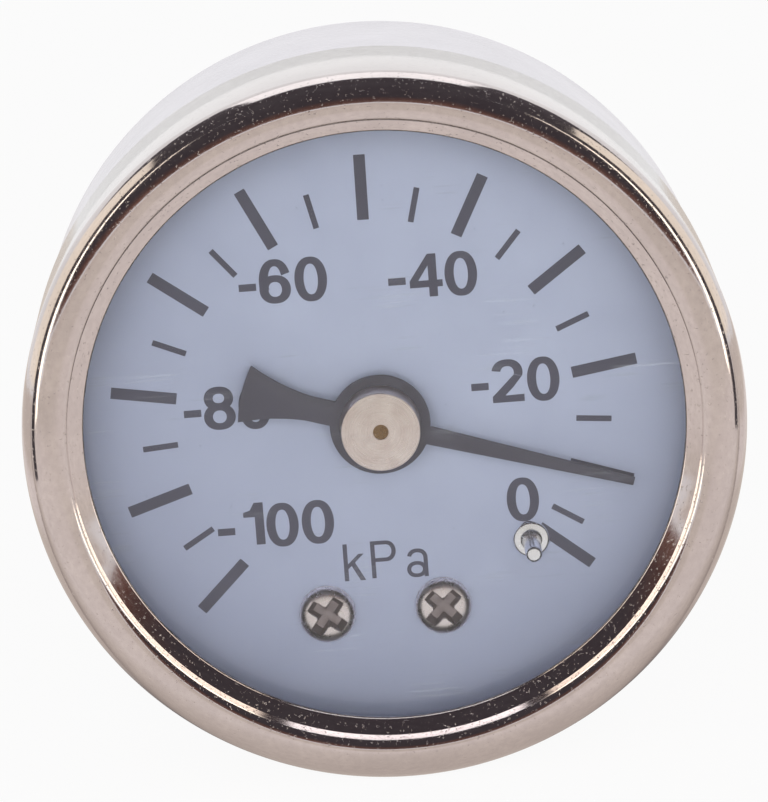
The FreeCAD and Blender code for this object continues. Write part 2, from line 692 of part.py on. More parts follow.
# Stud on the front plate that holds the hairspring's outer end.
hairspring_stud = rod(
    SPRING_STUD_RADIUS, front_plate_back, spring_back + SPRING_STUD_PROUD, spring_end_place)
hairspring_stud = hairspring_stud.cut(hairspring)

# Movement plates, with pivot holes, and pillars between them.
frame_circles = [(place, PLATE_MARGIN) for place in PILLAR_PLACES + [sector_place]]
pivot_hole = PIVOT_RADIUS + PIVOT_CLEARANCE
arbor_hole = PINION_ARBOR_RADIUS + PIVOT_CLEARANCE
front_plate = rounded_hull(frame_circles, front_plate_front, front_plate_back)
front_plate = drilled(front_plate, pivot_hole, front_plate_front, front_plate_back, [sector_place])
front_plate = drilled(front_plate, arbor_hole, front_plate_front, front_plate_back, [pinion_place])
screw_hole = FRAME_SCREW_RADIUS + SCREW_HOLE_CLEARANCE
front_plate = drilled(front_plate, screw_hole, front_plate_front, front_plate_back, PILLAR_PLACES)
back_plate = rounded_hull(frame_circles, back_plate_front, back_plate_back)
pivots = [sector_place, pinion_place]
back_plate = drilled(back_plate, pivot_hole, back_plate_front, back_plate_back, pivots)
back_plate = drilled(back_plate, PILLAR_TENON_RADIUS, back_plate_front, back_plate_back, PILLAR_PLACES)
back_plate = drilled(back_plate, screw_hole, back_plate_front, back_plate_back, MOUNT_SCREW_PLACES)

pillars = []
frame_screws = []
for place in PILLAR_PLACES:
    pillar = rod(PILLAR_RADIUS, front_plate_back, back_plate_front, place)
    pillar = pillar.fuse(rod(PILLAR_TENON_RADIUS, back_plate_front, back_plate_back, place))
    hole_end = front_plate_back + FRAME_SCREW_DEPTH
    pillars.append(pillar.cut(rod(FRAME_SCREW_RADIUS, front_plate_back, hole_end, place)))
    head_top = front_plate_front - FRAME_SCREW_HEAD_HEIGHT
    screw = rod(FRAME_SCREW_HEAD_RADIUS, head_top, front_plate_front, place)
    screw = screw.fuse(rod(FRAME_SCREW_RADIUS, front_plate_front, hole_end, place))
    frame_screws.append(slotted(screw, place, head_top, True))

mount_screws = []
mount_screw_end = back_plate_back + FRAME_SCREW_DEPTH
for place in MOUNT_SCREW_PLACES:
    head_top = back_plate_front - FRAME_SCREW_HEAD_HEIGHT
    screw = rod(FRAME_SCREW_HEAD_RADIUS, head_top, back_plate_front, place)
    screw = screw.fuse(rod(FRAME_SCREW_RADIUS, back_plate_front, mount_screw_end, place))
    mount_screws.append(slotted(screw, place, head_top, True))

# Socket: threaded stem with wrench flats, a flange inside the case, and a tower for the dial.
thread_steps = [
    (THREAD_RADIUS, 0),
    (THREAD_RADIUS, THREAD_LENGTH - THREAD_CHAMFER),
    (THREAD_RADIUS - THREAD_CHAMFER, THREAD_LENGTH),
    (0, THREAD_LENGTH),
]
thread = turned((0, 0), thread_steps)
stem_steps = [
    (STEM_RADIUS, case_floor),
    (STEM_RADIUS, -STEM_EDGE),
    (STEM_RADIUS - STEM_EDGE, 0),
    (0, 0),
]
stem = turned((0, case_floor), stem_steps)
flats_start = case_back + STEM_EDGE
half_flats = FLATS_WIDTH / 2
reach = 2 * STEM_RADIUS
flats = Part.makeBox(FLATS_WIDTH, -flats_start, FLATS_WIDTH, Vector(-half_flats, flats_start, -half_flats))
collar_corner = Vector(-STEM_RADIUS, case_floor, -STEM_RADIUS)
collar = Part.makeBox(reach, flats_start - case_floor, reach, collar_corner)
stem = stem.common(flats.fuse(collar))
corner_x = FLANGE_HALF_WIDTH - FLANGE_CORNER
corner_top = FLANGE_TOP - FLANGE_CORNER
corner_bottom = flange_bottom + FLANGE_CORNER
flange_corners = [
    (-corner_x, corner_top), (corner_x, corner_top), (corner_x, corner_bottom), (-corner_x, corner_bottom)]
flange_circles = [(corner, FLANGE_CORNER) for corner in flange_corners]
flange = rounded_hull(flange_circles, flange_front, case_floor)
pad = Part.makeBox(
    2 * PAD_HALF_WIDTH, flange_front - back_plate_back, PAD_TOP - PAD_BOTTOM,
    Vector(-PAD_HALF_WIDTH, back_plate_back, PAD_BOTTOM))
tower = Part.makeBox(
    TOWER_RIGHT - TOWER_LEFT, flange_front - dial_back, tower_top - flange_bottom,
    Vector(TOWER_LEFT, dial_back, flange_bottom))
socket = flange.multiFuse([thread, stem, pad, tower]).removeSplitter()
socket = socket.cut(tube_outside)
socket = drilled(socket, DIAL_SCREW_RADIUS, dial_back, dial_front + DIAL_SCREW_LENGTH, dial_screw_places)
socket = drilled(socket, FRAME_SCREW_RADIUS, back_plate_back, mount_screw_end, MOUNT_SCREW_PLACES)
case_screw_end = case_floor - CASE_SCREW_GRIP
socket = drilled(socket, CASE_SCREW_RADIUS, case_screw_end, case_floor, case_screw_places)

# Pressure channel: bore from the thread, a slanting drilling, and a short one to the tube's root.
channel_plane = case_floor - CHANNEL_DEPTH
port = rod(PORT_RADIUS, channel_plane, THREAD_LENGTH)
mouth = turned(
    (0, THREAD_LENGTH - PORT_MOUTH_CHAMFER),
    [(PORT_RADIUS, THREAD_LENGTH - PORT_MOUTH_CHAMFER), (PORT_RADIUS + PORT_MOUTH_CHAMFER, THREAD_LENGTH),
     (0, THREAD_LENGTH)])
root_well = clock(TUBE_BEND_RADIUS, TUBE_ROOT_ANGLE - CHANNEL_BEHIND_TUBE)
slant_length = math.hypot(root_well[0], root_well[1])
slant = Part.makeCylinder(
    CHANNEL_RADIUS, slant_length, Vector(0, channel_plane, 0), Vector(root_well[0], 0, root_well[1]))
well = rod(CHANNEL_RADIUS, tube_plane, channel_plane, root_well)
socket = socket.cut(port.multiFuse([mouth, slant, well]))

# Restrictor screwed into the bore, with a fine hole.
restrictor_back = THREAD_LENGTH - RESTRICTOR_INSET
restrictor = rod(PORT_RADIUS, restrictor_back - RESTRICTOR_LENGTH, restrictor_back)
restrictor = restrictor.cut(
    rod(RESTRICTOR_HOLE_RADIUS, restrictor_back - RESTRICTOR_LENGTH, restrictor_back))
restrictor = slotted(restrictor, axis, restrictor_back, False)

# Two screws from the back that hold the case to the socket's flange.
case_screws = []
for place in case_screw_places:
    head = screw_head(CASE_SCREW_HEAD_RADIUS, CASE_SCREW_HEAD_HEIGHT, CASE_SCREW_CROWN, case_back, 1, place)
    case_screws.append(head.fuse(rod(CASE_SCREW_RADIUS, case_screw_end, case_back, place)))

# Rubber vent plug in the back of the case, with a domed face.
vent_top = case_back + VENT_FLANGE_HEIGHT
vent_dome_middle = dome_middle(VENT_FLANGE_RADIUS, vent_top - VENT_DOME, vent_top)
vent_steps = [
    (VENT_TIP_RADIUS, case_floor - VENT_BARB_HEIGHT),
    (VENT_BARB_RADIUS, case_floor),
    (VENT_NECK_RADIUS, case_floor),
    (VENT_NECK_RADIUS, case_back),
    (VENT_FLANGE_RADIUS, case_back),
    (VENT_FLANGE_RADIUS, vent_top - VENT_DOME),
    (vent_dome_middle, (0, vent_top)),
]
vent_plug = turned((0, case_floor - VENT_BARB_HEIGHT), vent_steps, vent_place)

# Pointer: boss, tapered blade and a fan shaped tail with hollow flanks.
boss = rod(POINTER_BOSS_RADIUS, pointer_front, pointer_back, pinion_place)


def across(radius, half_width, direction):
    """The two points half_width either side of a line from the pinion's axis, left first."""
    foot = clock(radius, direction, pinion_place)
    sides = [clock(half_width, direction + turn, foot) for turn in (-90.0, 90.0)]
    return [Vector(p[0], pointer_front, p[1]) for p in sides]


thickness = Vector(0, POINTER_THICKNESS, 0)
root_left, root_right = across(0, POINTER_ROOT_WIDTH / 2, POINTER_ANGLE)
tip_left, tip_right = across(POINTER_LENGTH, POINTER_TIP_WIDTH / 2, POINTER_ANGLE)
blade = Part.Face(outline(root_left, [tip_left, tip_right, root_right])).extrude(thickness)
tail_direction = POINTER_ANGLE + 180.0
neck_left, neck_right = across(0, TAIL_NECK_WIDTH / 2, tail_direction)
waist_left, waist_right = across(TAIL_NECK_RADIUS, TAIL_NECK_WIDTH / 2, tail_direction)
fan_half = TAIL_LENGTH * math.sin(math.radians(TAIL_HALF_ANGLE))
hollow = (TAIL_NECK_WIDTH / 2 + fan_half) / 2 - TAIL_FLANK_HOLLOW
flank_left, flank_right = across((TAIL_NECK_RADIUS + TAIL_LENGTH) / 2, hollow, tail_direction)
fan = [clock(TAIL_LENGTH, tail_direction + side * TAIL_HALF_ANGLE, pinion_place) for side in (-1, 0, 1)]
fan_left, fan_middle, fan_right = [Vector(p[0], pointer_front, p[1]) for p in fan]
tail_steps = [
    waist_left,
    (flank_left, fan_left),
    (fan_middle, fan_right),
    (flank_right, waist_right),
    neck_right,
]
pointer_tail = Part.Face(outline(neck_left, tail_steps)).extrude(thickness)
pointer = boss.multiFuse([blade, pointer_tail]).removeSplitter()
pointer = drilled(pointer, HUB_STEM_RADIUS, pointer_front, pointer_back, [pinion_place])

# Hub that clamps the pointer and is pressed on the arbor's nose.
hub_edge_middle = (
    HUB_TOP_RADIUS - HUB_EDGE * (1 - diagonal),
    hub_top + HUB_EDGE * (1 - diagonal),
)
hub_steps = [
    (HUB_DIMPLE_RADIUS, hub_top),
    (HUB_TOP_RADIUS - HUB_EDGE, hub_top),
    (hub_edge_middle, (HUB_TOP_RADIUS, hub_top + HUB_EDGE)),
    (HUB_BASE_RADIUS, pointer_front),
    (HUB_STEM_RADIUS, pointer_front),
    (HUB_STEM_RADIUS, pointer_back),
    (HUB_RIVET_RADIUS, pointer_back),
    (HUB_RIVET_RADIUS, hub_rivet_back),
    (PINION_NOSE_RADIUS, hub_rivet_back),
]
pointer_hub = turned((PINION_NOSE_RADIUS, hub_top + HUB_DIMPLE_DEPTH), hub_steps, pinion_place)

nodes = {
    "case": [case],
    "bezel_ring": [bezel_ring],
    "window": [window],
    "window_gasket": [window_gasket],
    "dial_plate": [dial_plate],
    "dial_screws": dial_screws,
    "stop_pin": [stop_pin],
    "socket": [socket],
    "restrictor": [restrictor],
    "case_screws": case_screws,
    "vent_plug": [vent_plug],
    "bourdon_tube": [bourdon_tube],
    "tube_tip": [tube_tip],
    "tip_pin": [tip_pin],
    "link": [link],
    "sector_gear": [sector_gear],
    "sector_pin": [sector_pin],
    "sector_arbor": [sector_arbor],
    "pinion_arbor": [pinion_arbor],
    "hairspring": [hairspring],
    "hairspring_collet": [hairspring_collet],
    "hairspring_stud": [hairspring_stud],
    "movement_front_plate": [front_plate],
    "movement_back_plate": [back_plate],
    "movement_pillars": pillars,
    "movement_screws": frame_screws,
    "movement_mount_screws": mount_screws,
    "pointer": [pointer],
    "pointer_hub": [pointer_hub],
}

os.makedirs("parts", exist_ok=True)
for name, solids in nodes.items():
    shape = one_compound(solids)
    if not shape.isValid():
        raise ValueError(name + " is not a valid shape")
    shape.exportStep(os.path.join("parts", name + ".step"))
    print(name, "solids", len(shape.Solids), "volume", round(shape.Volume, 3))
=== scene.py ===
import json
import math

import bmesh
import bpy
from mathutils import Matrix, Vector


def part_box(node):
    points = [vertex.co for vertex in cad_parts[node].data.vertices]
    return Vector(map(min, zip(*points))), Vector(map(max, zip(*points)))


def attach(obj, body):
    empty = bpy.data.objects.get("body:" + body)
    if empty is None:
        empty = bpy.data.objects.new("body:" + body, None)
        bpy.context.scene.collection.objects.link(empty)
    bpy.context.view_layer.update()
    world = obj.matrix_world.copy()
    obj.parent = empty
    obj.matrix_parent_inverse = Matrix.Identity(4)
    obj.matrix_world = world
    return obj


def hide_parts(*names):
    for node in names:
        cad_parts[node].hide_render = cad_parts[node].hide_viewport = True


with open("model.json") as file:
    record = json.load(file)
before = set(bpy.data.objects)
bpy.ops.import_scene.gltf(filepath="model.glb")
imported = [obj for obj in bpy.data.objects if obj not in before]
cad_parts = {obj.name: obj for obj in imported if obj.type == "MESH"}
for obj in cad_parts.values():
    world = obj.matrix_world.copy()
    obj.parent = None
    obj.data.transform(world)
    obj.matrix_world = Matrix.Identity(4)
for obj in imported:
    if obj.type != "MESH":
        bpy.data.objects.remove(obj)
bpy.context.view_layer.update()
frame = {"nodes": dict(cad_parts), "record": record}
scene = bpy.context.scene
MM = 0.001


# Case: a cup drawn from brass sheet, nickel plated and brushed round and round on a wheel.
# Its neck goes up inside the bezel, and two screws hold its back to the socket.
# The stem comes out through the hole in the middle of the back.

case_low, case_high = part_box("case")
case_radius = case_high.x
case_back = case_high.y
case_front = case_low.y
case_wall = 0.6 * MM
case_corner = 2.5 * MM
neck_radius = 20.6 * MM
neck_length = 6.65 * MM
neck_slope = 0.35 * MM
stem_hole = 7.35 * MM


def corner(centre, size, start, end, steps=10):
    """Points (radius, y) round a corner. size is the reach along each of the two directions."""
    points = []
    for i in range(steps + 1):
        angle = math.radians(start + (end - start) * i / steps)
        points.append((centre[0] + size[0] * math.cos(angle), centre[1] + size[1] * math.sin(angle)))
    return points


def turned(profile, place=(0.0, 0.0), steps=256):
    """Lathe work: a closed profile of (radius, y) points, spun about an axis along Y at place."""
    lathe = bmesh.new()
    points = [lathe.verts.new((place[0] + radius, y, place[1])) for radius, y in profile]
    lines = []
    for i, (radius, y) in enumerate(profile):
        if radius > 0 or profile[i - 1][0] > 0:
            lines.append(lathe.edges.new((points[i - 1], points[i])))
    bmesh.ops.spin(
        lathe, geom=points + lines, cent=(place[0], 0, place[1]), axis=(0, 1, 0),
        angle=2 * math.pi, steps=steps, use_merge=True)
    bmesh.ops.remove_doubles(lathe, verts=lathe.verts, dist=1e-7)
    bmesh.ops.dissolve_degenerate(lathe, edges=lathe.edges, dist=1e-8)
    bmesh.ops.recalc_face_normals(lathe, faces=lathe.faces)
    return lathe


def linear(code):
    """An sRGB colour such as #a0b0c0, as the linear values that a shader takes."""
    shares = [int(code[i:i + 2], 16) / 255 for i in (1, 3, 5)]
    return [s / 12.92 if s <= 0.04045 else ((s + 0.055) / 1.055) ** 2.4 for s in shares] + [1.0]


def add(tree, kind, inputs=None, **settings):
    """Adds a shader node, with its settings, and with a value or a link for each input named."""
    node = tree.nodes.new("ShaderNode" + kind)
    for key, value in settings.items():
        setattr(node, key, value)
    for key, value in (inputs or {}).items():
        if isinstance(value, bpy.types.NodeSocket):
            tree.links.new(value, node.inputs[key])
        else:
            node.inputs[key].default_value = value
    return node


def ramp(tree, factor, stops):
    """Colour ramp with stops of (place, sRGB colour)."""
    node = add(tree, "ValToRGB", {"Fac": factor})
    bands = node.color_ramp.elements
    while len(bands) < len(stops):
        bands.new(0.5)
    for band, (place, code) in zip(bands, stops):
        band.position = place
        band.color = linear(code)
    return node.outputs["Color"]


def new_material(name):
    """Empty material with a Principled shader. Gives it, its tree, the shader and Object coordinates."""
    material = bpy.data.materials.new(name)
    material.use_nodes = True
    tree = material.node_tree
    shader = tree.nodes["Principled BSDF"]
    place = add(tree, "TexCoord").outputs["Object"]
    return material, tree, shader, place


def metal(name, tones, roughness, grain, marks_depth, pits=0.0, pit_size=0.25 * MM):
    """Worked metal. grain is the length of its marks along X, Y and Z, and pits is its pores' depth."""
    material, tree, shader, place = new_material(name)
    stretch = add(tree, "Mapping", {"Vector": place, "Scale": [1 / g for g in grain]})
    marks = add(tree, "TexNoise", {
        "Vector": stretch.outputs["Vector"], "Scale": 1.0, "Detail": 5.0, "Roughness": 0.6}).outputs["Fac"]
    cloud = add(tree, "TexNoise", {
        "Vector": place, "Scale": 1 / (4 * MM), "Detail": 3.0, "Roughness": 0.55}).outputs["Fac"]
    tone = add(tree, "Math", {0: marks, 1: cloud, 2: 0.2}, operation="MULTIPLY_ADD")
    tree.links.new(ramp(tree, tone.outputs[0], tones), shader.inputs["Base Color"])
    sheen = add(tree, "MapRange", {
        "Value": marks, "From Min": 0.3, "From Max": 0.7, "To Min": roughness[0], "To Max": roughness[1]})
    tree.links.new(sheen.outputs["Result"], shader.inputs["Roughness"])
    shader.inputs["Metallic"].default_value = 1.0
    bump = add(tree, "Bump", {"Height": marks, "Strength": 1.0, "Distance": marks_depth})
    if pits:
        pore = add(tree, "TexNoise", {
            "Vector": place, "Scale": 1 / pit_size, "Detail": 2.0, "Roughness": 0.5}).outputs["Fac"]
        hole = add(tree, "MapRange", {
            "Value": pore, "From Min": 0.66, "From Max": 0.74, "To Min": 1.0, "To Max": 0.0})
        bump = add(tree, "Bump", {
            "Height": hole.outputs["Result"], "Strength": 1.0, "Distance": pits,
            "Normal": bump.outputs["Normal"]})
    tree.links.new(bump.outputs["Normal"], shader.inputs["Normal"])
    return material


def finished(name, shape, materials, body, replaces=(), crease=32.0):
    """Makes a bmesh a named piece of its materials, which rides on a body and stands for CAD nodes."""
    mesh = bpy.data.meshes.new(name)
    shape.to_mesh(mesh)
    shape.free()
    mesh.shade_smooth()
    mesh.set_sharp_from_angle(angle=math.radians(crease))
    for material in materials:
        mesh.materials.append(material)
    piece = bpy.data.objects.new(name, mesh)
    scene.collection.objects.link(piece)
    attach(piece, body)
    if replaces:
        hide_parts(*replaces)
    return piece


neck_end = case_front + neck_length
case_profile = [(stem_hole, case_back)]
case_profile += corner(
    (case_radius - case_corner, case_back - case_corner), (case_corner, case_corner), 90, 0)
case_profile += [(case_radius, neck_end + neck_slope), (neck_radius, neck_end), (neck_radius, case_front)]
case_profile += [
    (neck_radius - case_wall, case_front),
    (neck_radius - case_wall, neck_end + neck_slope),
    (case_radius - case_wall, neck_end + 2 * neck_slope),
]
case_profile += corner(
    (case_radius - case_corner, case_back - case_corner),
    (case_corner - case_wall, case_corner - case_wall), 0, 90)
case_profile.append((stem_hole, case_back - case_wall))

# Brushed nickel: a satin grey, a little lilac, with fine lines that run round the cup.
brushed_nickel = metal(
    "brushed_nickel", [(0.35, "#d5d2d9"), (0.65, "#e2dfe6")], (0.2, 0.32),
    (6 * MM, 0.05 * MM, 6 * MM), 0.0010 * MM)
finished("case_shell", turned(case_profile), [brushed_nickel], "gauge", ["case"])


# Bezel ring: turned brass, nickel plated and polished, with a rolled front and a skirt behind it.
# Inside its crest an upright wall leads down to a conical lip, which holds the window from the front.
# Plating and handling have left it with fine pores and faint marks.

bezel_low, bezel_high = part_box("bezel_ring")
window_low, window_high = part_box("window")
bezel_radius = bezel_high.x
bezel_crest = bezel_low.y
bezel_end = bezel_high.y
bezel_rounding = 1.9 * MM
skirt_bore = 20.65 * MM
skirt_edge = 0.12 * MM
face_width = 3.6 * MM
face_inner_angle = 48.0
lip_width = 0.92 * MM
lip_rise = 0.7 * MM
lip_edge = 0.25 * MM
lip_back_chamfer = 0.15 * MM
opening_depth = 2.05 * MM

crest_radius = bezel_radius - bezel_rounding
opening_radius = bezel_radius - face_width
lip_corner = (opening_radius + lip_width, bezel_crest + opening_depth - lip_rise)
lip_centre = (opening_radius + lip_edge, bezel_crest + opening_depth)
lip_across = lip_corner[0] - lip_centre[0]
lip_down = lip_centre[1] - lip_corner[1]
lip_lean = math.degrees(
    math.atan2(lip_down, lip_across) - math.asin(lip_edge / math.hypot(lip_across, lip_down)))
face_inner_rounding = (crest_radius - lip_corner[0]) / math.sin(math.radians(face_inner_angle))
bezel_profile = corner(
    (crest_radius, bezel_crest + bezel_rounding), (bezel_rounding, bezel_rounding), -90, 0, 24)
bezel_profile += corner(
    (bezel_radius - skirt_edge, bezel_end - skirt_edge), (skirt_edge, skirt_edge), 0, 90, 3)
bezel_profile += [
    (skirt_bore, bezel_end),
    (skirt_bore, window_low.y),
    (opening_radius + lip_back_chamfer, window_low.y),
    (opening_radius, window_low.y - lip_back_chamfer),
]
bezel_profile += corner(lip_centre, (lip_edge, lip_edge), 180, 270 - lip_lean, 8)
bezel_profile.append(lip_corner)
bezel_profile += corner(
    (crest_radius, bezel_crest + face_inner_rounding), (face_inner_rounding, face_inner_rounding),
    270 - face_inner_angle, 270, 14)

# Polished nickel: a warm mirror, a little softened by handling. Its pores are finer on the real ring
# and are drawn coarse enough here to show as specks.
polished_nickel = metal(
    "polished_nickel", [(0.35, "#c9c1c1"), (0.65, "#d6cecd")], (0.06, 0.14),
    (0.5 * MM, 0.12 * MM, 0.5 * MM), 0.0009 * MM, pits=0.012 * MM, pit_size=0.17 * MM)
finished(
    "bezel", turned(bezel_profile, steps=320), [polished_nickel], "gauge", ["bezel_ring"])


# Window: a flat disc of clear polycarbonate, held between the bezel's lip and a rubber ring.
# It is thin, with a faint gloss and a few scuffs on its front.

window_radius = window_high.x
window_chamfer = 0.2 * MM
window_profile = [
    (0, window_low.y),
    (window_radius - window_chamfer, window_low.y),
    (window_radius, window_low.y + window_chamfer),
    (window_radius, window_high.y),
    (0, window_high.y),
]


def clear_sheet(name):
    """Thin clear plastic: what is behind shows through, with a gloss that grows toward grazing angles."""
    material, tree, shader, place = new_material(name)
    tree.nodes.remove(shader)
    gloss = add(tree, "BsdfGlossy", {"Color": linear("#ffffff"), "Roughness": 0.03})
    through = add(tree, "BsdfTransparent", {"Color": linear("#f9fbfc")})
    edge = add(tree, "Fresnel", {"IOR": 1.45})
    clear = add(tree, "MixShader", {0: edge.outputs[0], 1: through.outputs[0], 2: gloss.outputs[0]})
    stretch = add(tree, "Mapping", {
        "Vector": place, "Rotation": (0, math.radians(35), 0),
        "Scale": (1 / (7 * MM), 1 / (7 * MM), 1 / (0.25 * MM))})
    scratch = add(tree, "TexNoise", {"Vector": stretch.outputs["Vector"], "Scale": 1.0, "Detail": 4.0})
    patch = add(tree, "TexNoise", {"Vector": place, "Scale": 1 / (5 * MM), "Detail": 2.0})
    both = add(tree, "Math", {0: scratch.outputs["Fac"], 1: patch.outputs["Fac"]}, operation="MULTIPLY")
    scuff = add(tree, "MapRange", {
        "Value": both.outputs[0], "From Min": 0.36, "From Max": 0.5, "To Min": 0.0, "To Max": 0.12})
    haze = add(tree, "BsdfDiffuse", {"Color": linear("#e8ecf2"), "Roughness": 0.5})
    worn = add(tree, "MixShader", {0: scuff.outputs["Result"], 1: clear.outputs[0], 2: haze.outputs[0]})
    tree.links.new(worn.outputs[0], tree.nodes["Material Output"].inputs["Surface"])
    return material


# Clear polycarbonate: all but invisible from in front, with a gloss near the rim and a few pale scuffs.
polycarbonate = clear_sheet("clear_polycarbonate")
finished("window_pane", turned(window_profile), [polycarbonate], "gauge", ["window"])


# Rubber pieces: the flat ring behind the window, and the domed vent plug pushed into the case's back.
# Both are moulded nitrile rubber, black with a grey bloom.

def rubber(name):
    """Dull moulded rubber with a mottled bloom."""
    material, tree, shader, place = new_material(name)
    bloom = add(tree, "TexNoise", {"Vector": place, "Scale": 1 / (0.8 * MM), "Detail": 5.0})
    tree.links.new(
        ramp(tree, bloom.outputs["Fac"], [(0.3, "#1b1b1d"), (0.7, "#2b2b2e")]), shader.inputs["Base Color"])
    shader.inputs["Roughness"].default_value = 0.75
    skin = add(tree, "Bump", {"Height": bloom.outputs["Fac"], "Strength": 0.4, "Distance": 0.02 * MM})
    tree.links.new(skin.outputs["Normal"], shader.inputs["Normal"])
    return material


# Nitrile rubber: nearly black and quite matt, with a faint grey cloud.
black_rubber = rubber("nitrile_rubber")
frame["nodes"]["window_gasket"].data.materials.clear()
frame["nodes"]["window_gasket"].data.materials.append(black_rubber)

plug_low, plug_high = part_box("vent_plug")
plug_place = ((plug_low.x + plug_high.x) / 2, (plug_low.z + plug_high.z) / 2)
plug_radius = (plug_high.x - plug_low.x) / 2
plug_neck = 1.9 * MM
plug_dome = 0.35 * MM
plug_tip = 1.6 * MM
plug_barb = 2.3 * MM
dome_sphere = (plug_radius ** 2 + plug_dome ** 2) / (2 * plug_dome)
dome_angle = math.degrees(math.asin(plug_radius / dome_sphere))
plug_profile = [
    (0, plug_low.y),
    (plug_tip, plug_low.y),
    (plug_barb, case_back - case_wall),
    (plug_neck, case_back - case_wall),
    (plug_neck, case_back),
    (plug_radius, case_back),
]
plug_profile += corner((0, plug_high.y - dome_sphere), (dome_sphere, dome_sphere), 90 - dome_angle, 90, 10)
finished(
    "vent_plug_dome", turned(plug_profile, plug_place, 64), [black_rubber], "gauge",
    ["vent_plug"])


# Dial: an aluminium disc with a matt lacquer of pale grey-blue, lying a little off the case's centre.
# The lacquer is darkened toward the rim with painted shade, most of all at the lower left.

dial_low, dial_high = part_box("dial_plate")
dial_x = (dial_low.x + dial_high.x) / 2
dial_z = (dial_low.z + dial_high.z) / 2
dial_front = dial_low.y
dial_back = dial_high.y
dial_radius = (dial_high.x - dial_low.x) / 2
dial_edge = 0.05 * MM
# Painted shade on the dial: its centre, where it starts and ends, and its greatest share.
painted_shade_centre = (4 * MM, 6 * MM)
painted_shade_start = 8 * MM
painted_shade_end = 24 * MM
painted_shade_most = 0.5


def lacquer(name, tones, roughness, orange_peel):
    """Matt sprayed lacquer with a faint mottle, dust under the film and a fine peel."""
    material, tree, shader, place = new_material(name)
    mottle = add(tree, "TexNoise", {"Vector": place, "Scale": 1 / (5 * MM), "Detail": 4.0, "Roughness": 0.6})
    tint = ramp(tree, mottle.outputs["Fac"], tones)
    dust = add(tree, "TexNoise", {"Vector": place, "Scale": 1 / (0.35 * MM), "Detail": 2.0})
    speck = add(tree, "MapRange", {
        "Value": dust.outputs["Fac"], "From Min": 0.74, "From Max": 0.8, "To Min": 0.0, "To Max": 0.35})
    dusty = add(tree, "MixRGB", {
        "Fac": speck.outputs["Result"], "Color1": tint, "Color2": linear("#6d7390")})
    tree.links.new(dusty.outputs["Color"], shader.inputs["Base Color"])
    shader.inputs["Roughness"].default_value = roughness
    peel = add(tree, "TexNoise", {"Vector": place, "Scale": 1 / (0.15 * MM), "Detail": 2.0})
    skin = add(tree, "Bump", {"Height": peel.outputs["Fac"], "Strength": 0.5, "Distance": orange_peel})
    tree.links.new(skin.outputs["Normal"], shader.inputs["Normal"])
    return material


dial_profile = [
    (0, dial_front),
    (dial_radius - dial_edge, dial_front),
    (dial_radius, dial_front + dial_edge),
    (dial_radius, dial_back),
    (0, dial_back),
]

# Grey-blue lacquer: a flat, even ground for the print, with painted shade that darkens it toward the rim.
dial_lacquer_and_painted_shade = lacquer("grey_blue_lacquer_and_painted_shade", [(0.3, "#b7bbd0"), (0.7, "#bfc3d7")], 0.55, 0.001 * MM)
dial_tree = dial_lacquer_and_painted_shade.node_tree
dial_shader = dial_tree.nodes["Principled BSDF"]
dial_tint = dial_shader.inputs["Base Color"].links[0].from_socket
# Painted shade: the lacquer is mixed toward a darker grey-blue the farther it lies from a point up and to
# the right.
from_painted_shade_centre = add(dial_tree, "Mapping", {
    "Vector": add(dial_tree, "TexCoord").outputs["Object"],
    "Location": (-painted_shade_centre[0], 0, -painted_shade_centre[1]), "Scale": (1, 0, 1)})
reach = add(dial_tree, "VectorMath", {0: from_painted_shade_centre.outputs["Vector"]}, operation="LENGTH")
painted_shade_share = add(dial_tree, "MapRange", {
    "Value": reach.outputs["Value"], "From Min": painted_shade_start, "From Max": painted_shade_end,
    "To Min": 0.0, "To Max": painted_shade_most})
painted_shade_mix = add(dial_tree, "MixRGB", {
    "Fac": painted_shade_share.outputs["Result"], "Color1": dial_tint, "Color2": linear("#979ab3")})
dial_tree.links.new(painted_shade_mix.outputs["Color"], dial_shader.inputs["Base Color"])
finished(
    "dial", turned(dial_profile, (dial_x, dial_z)), [dial_lacquer_and_painted_shade], "gauge", ["dial_plate"])


# Print: marks every five kilopascals over 270 degrees, long ones every ten, with upright figures.
# The figures are a heavy grotesque, and the unit is in a light one. The ink stands just proud.

ink_thickness = 0.012 * MM
stroke_step = 0.001 * MM
stroke_levels = 7
oval_fullness = 0.85
full_vacuum_angle = -134.5
zero_angle = 129.2
step_angle = 13.5
zero_step = 20
long_mark = (11.97 * MM, 15.9 * MM, 0.69 * MM)
short_mark = (11.97 * MM, 14.08 * MM, 0.35 * MM)

ink = bmesh.new()


def stroke_height():
    """Each stroke is laid a hair over the one before, so that no two lie in one plane where they cross."""
    return -stroke_step * (len(ink.faces) % stroke_levels)


def bar(corners, at):
    """Flat stroke of ink with straight sides. Corners are in millimetres from the figure's middle."""
    height = stroke_height()
    points = [ink.verts.new((at[0] + x * MM, height, at[1] + z * MM)) for x, z in corners]
    ink.faces.new(points)


def squared(share):
    """Pushes the sides of an oval out a little, as this lettering has them."""
    return math.copysign(abs(share) ** oval_fullness, share)


def bow(middle, outer, inner, start, sweep, at, steps=40):
    """Curved stroke of ink between two ovals, from a clock angle, clockwise. Sizes are in millimetres."""
    angle = math.radians(start)
    height = stroke_height()
    ends = [ink.verts.new((math.sin(angle) * size, 0, math.cos(angle) * size)) for size in (1, 2)]
    line = ink.edges.new(ends)
    whole = sweep >= 360
    before = set(ink.verts) - set(ends)
    bmesh.ops.spin(
        ink, geom=ends + [line], cent=(0, 0, 0), axis=(0, 1, 0), angle=math.radians(sweep),
        steps=steps, use_merge=whole)
    for point in set(ink.verts) - before:
        oval = outer if point.co.length > 1.5 else inner
        size = 2 if point.co.length > 1.5 else 1
        point.co = Vector((
            at[0] + (middle[0] + squared(point.co.x / size) * oval[0]) * MM, height,
            at[1] + (middle[1] + point.co.z / size * oval[1]) * MM))


def nought(at):
    bow((0, 0), (0.97, 1.36), (0.42, 0.93), 0, 360, at)


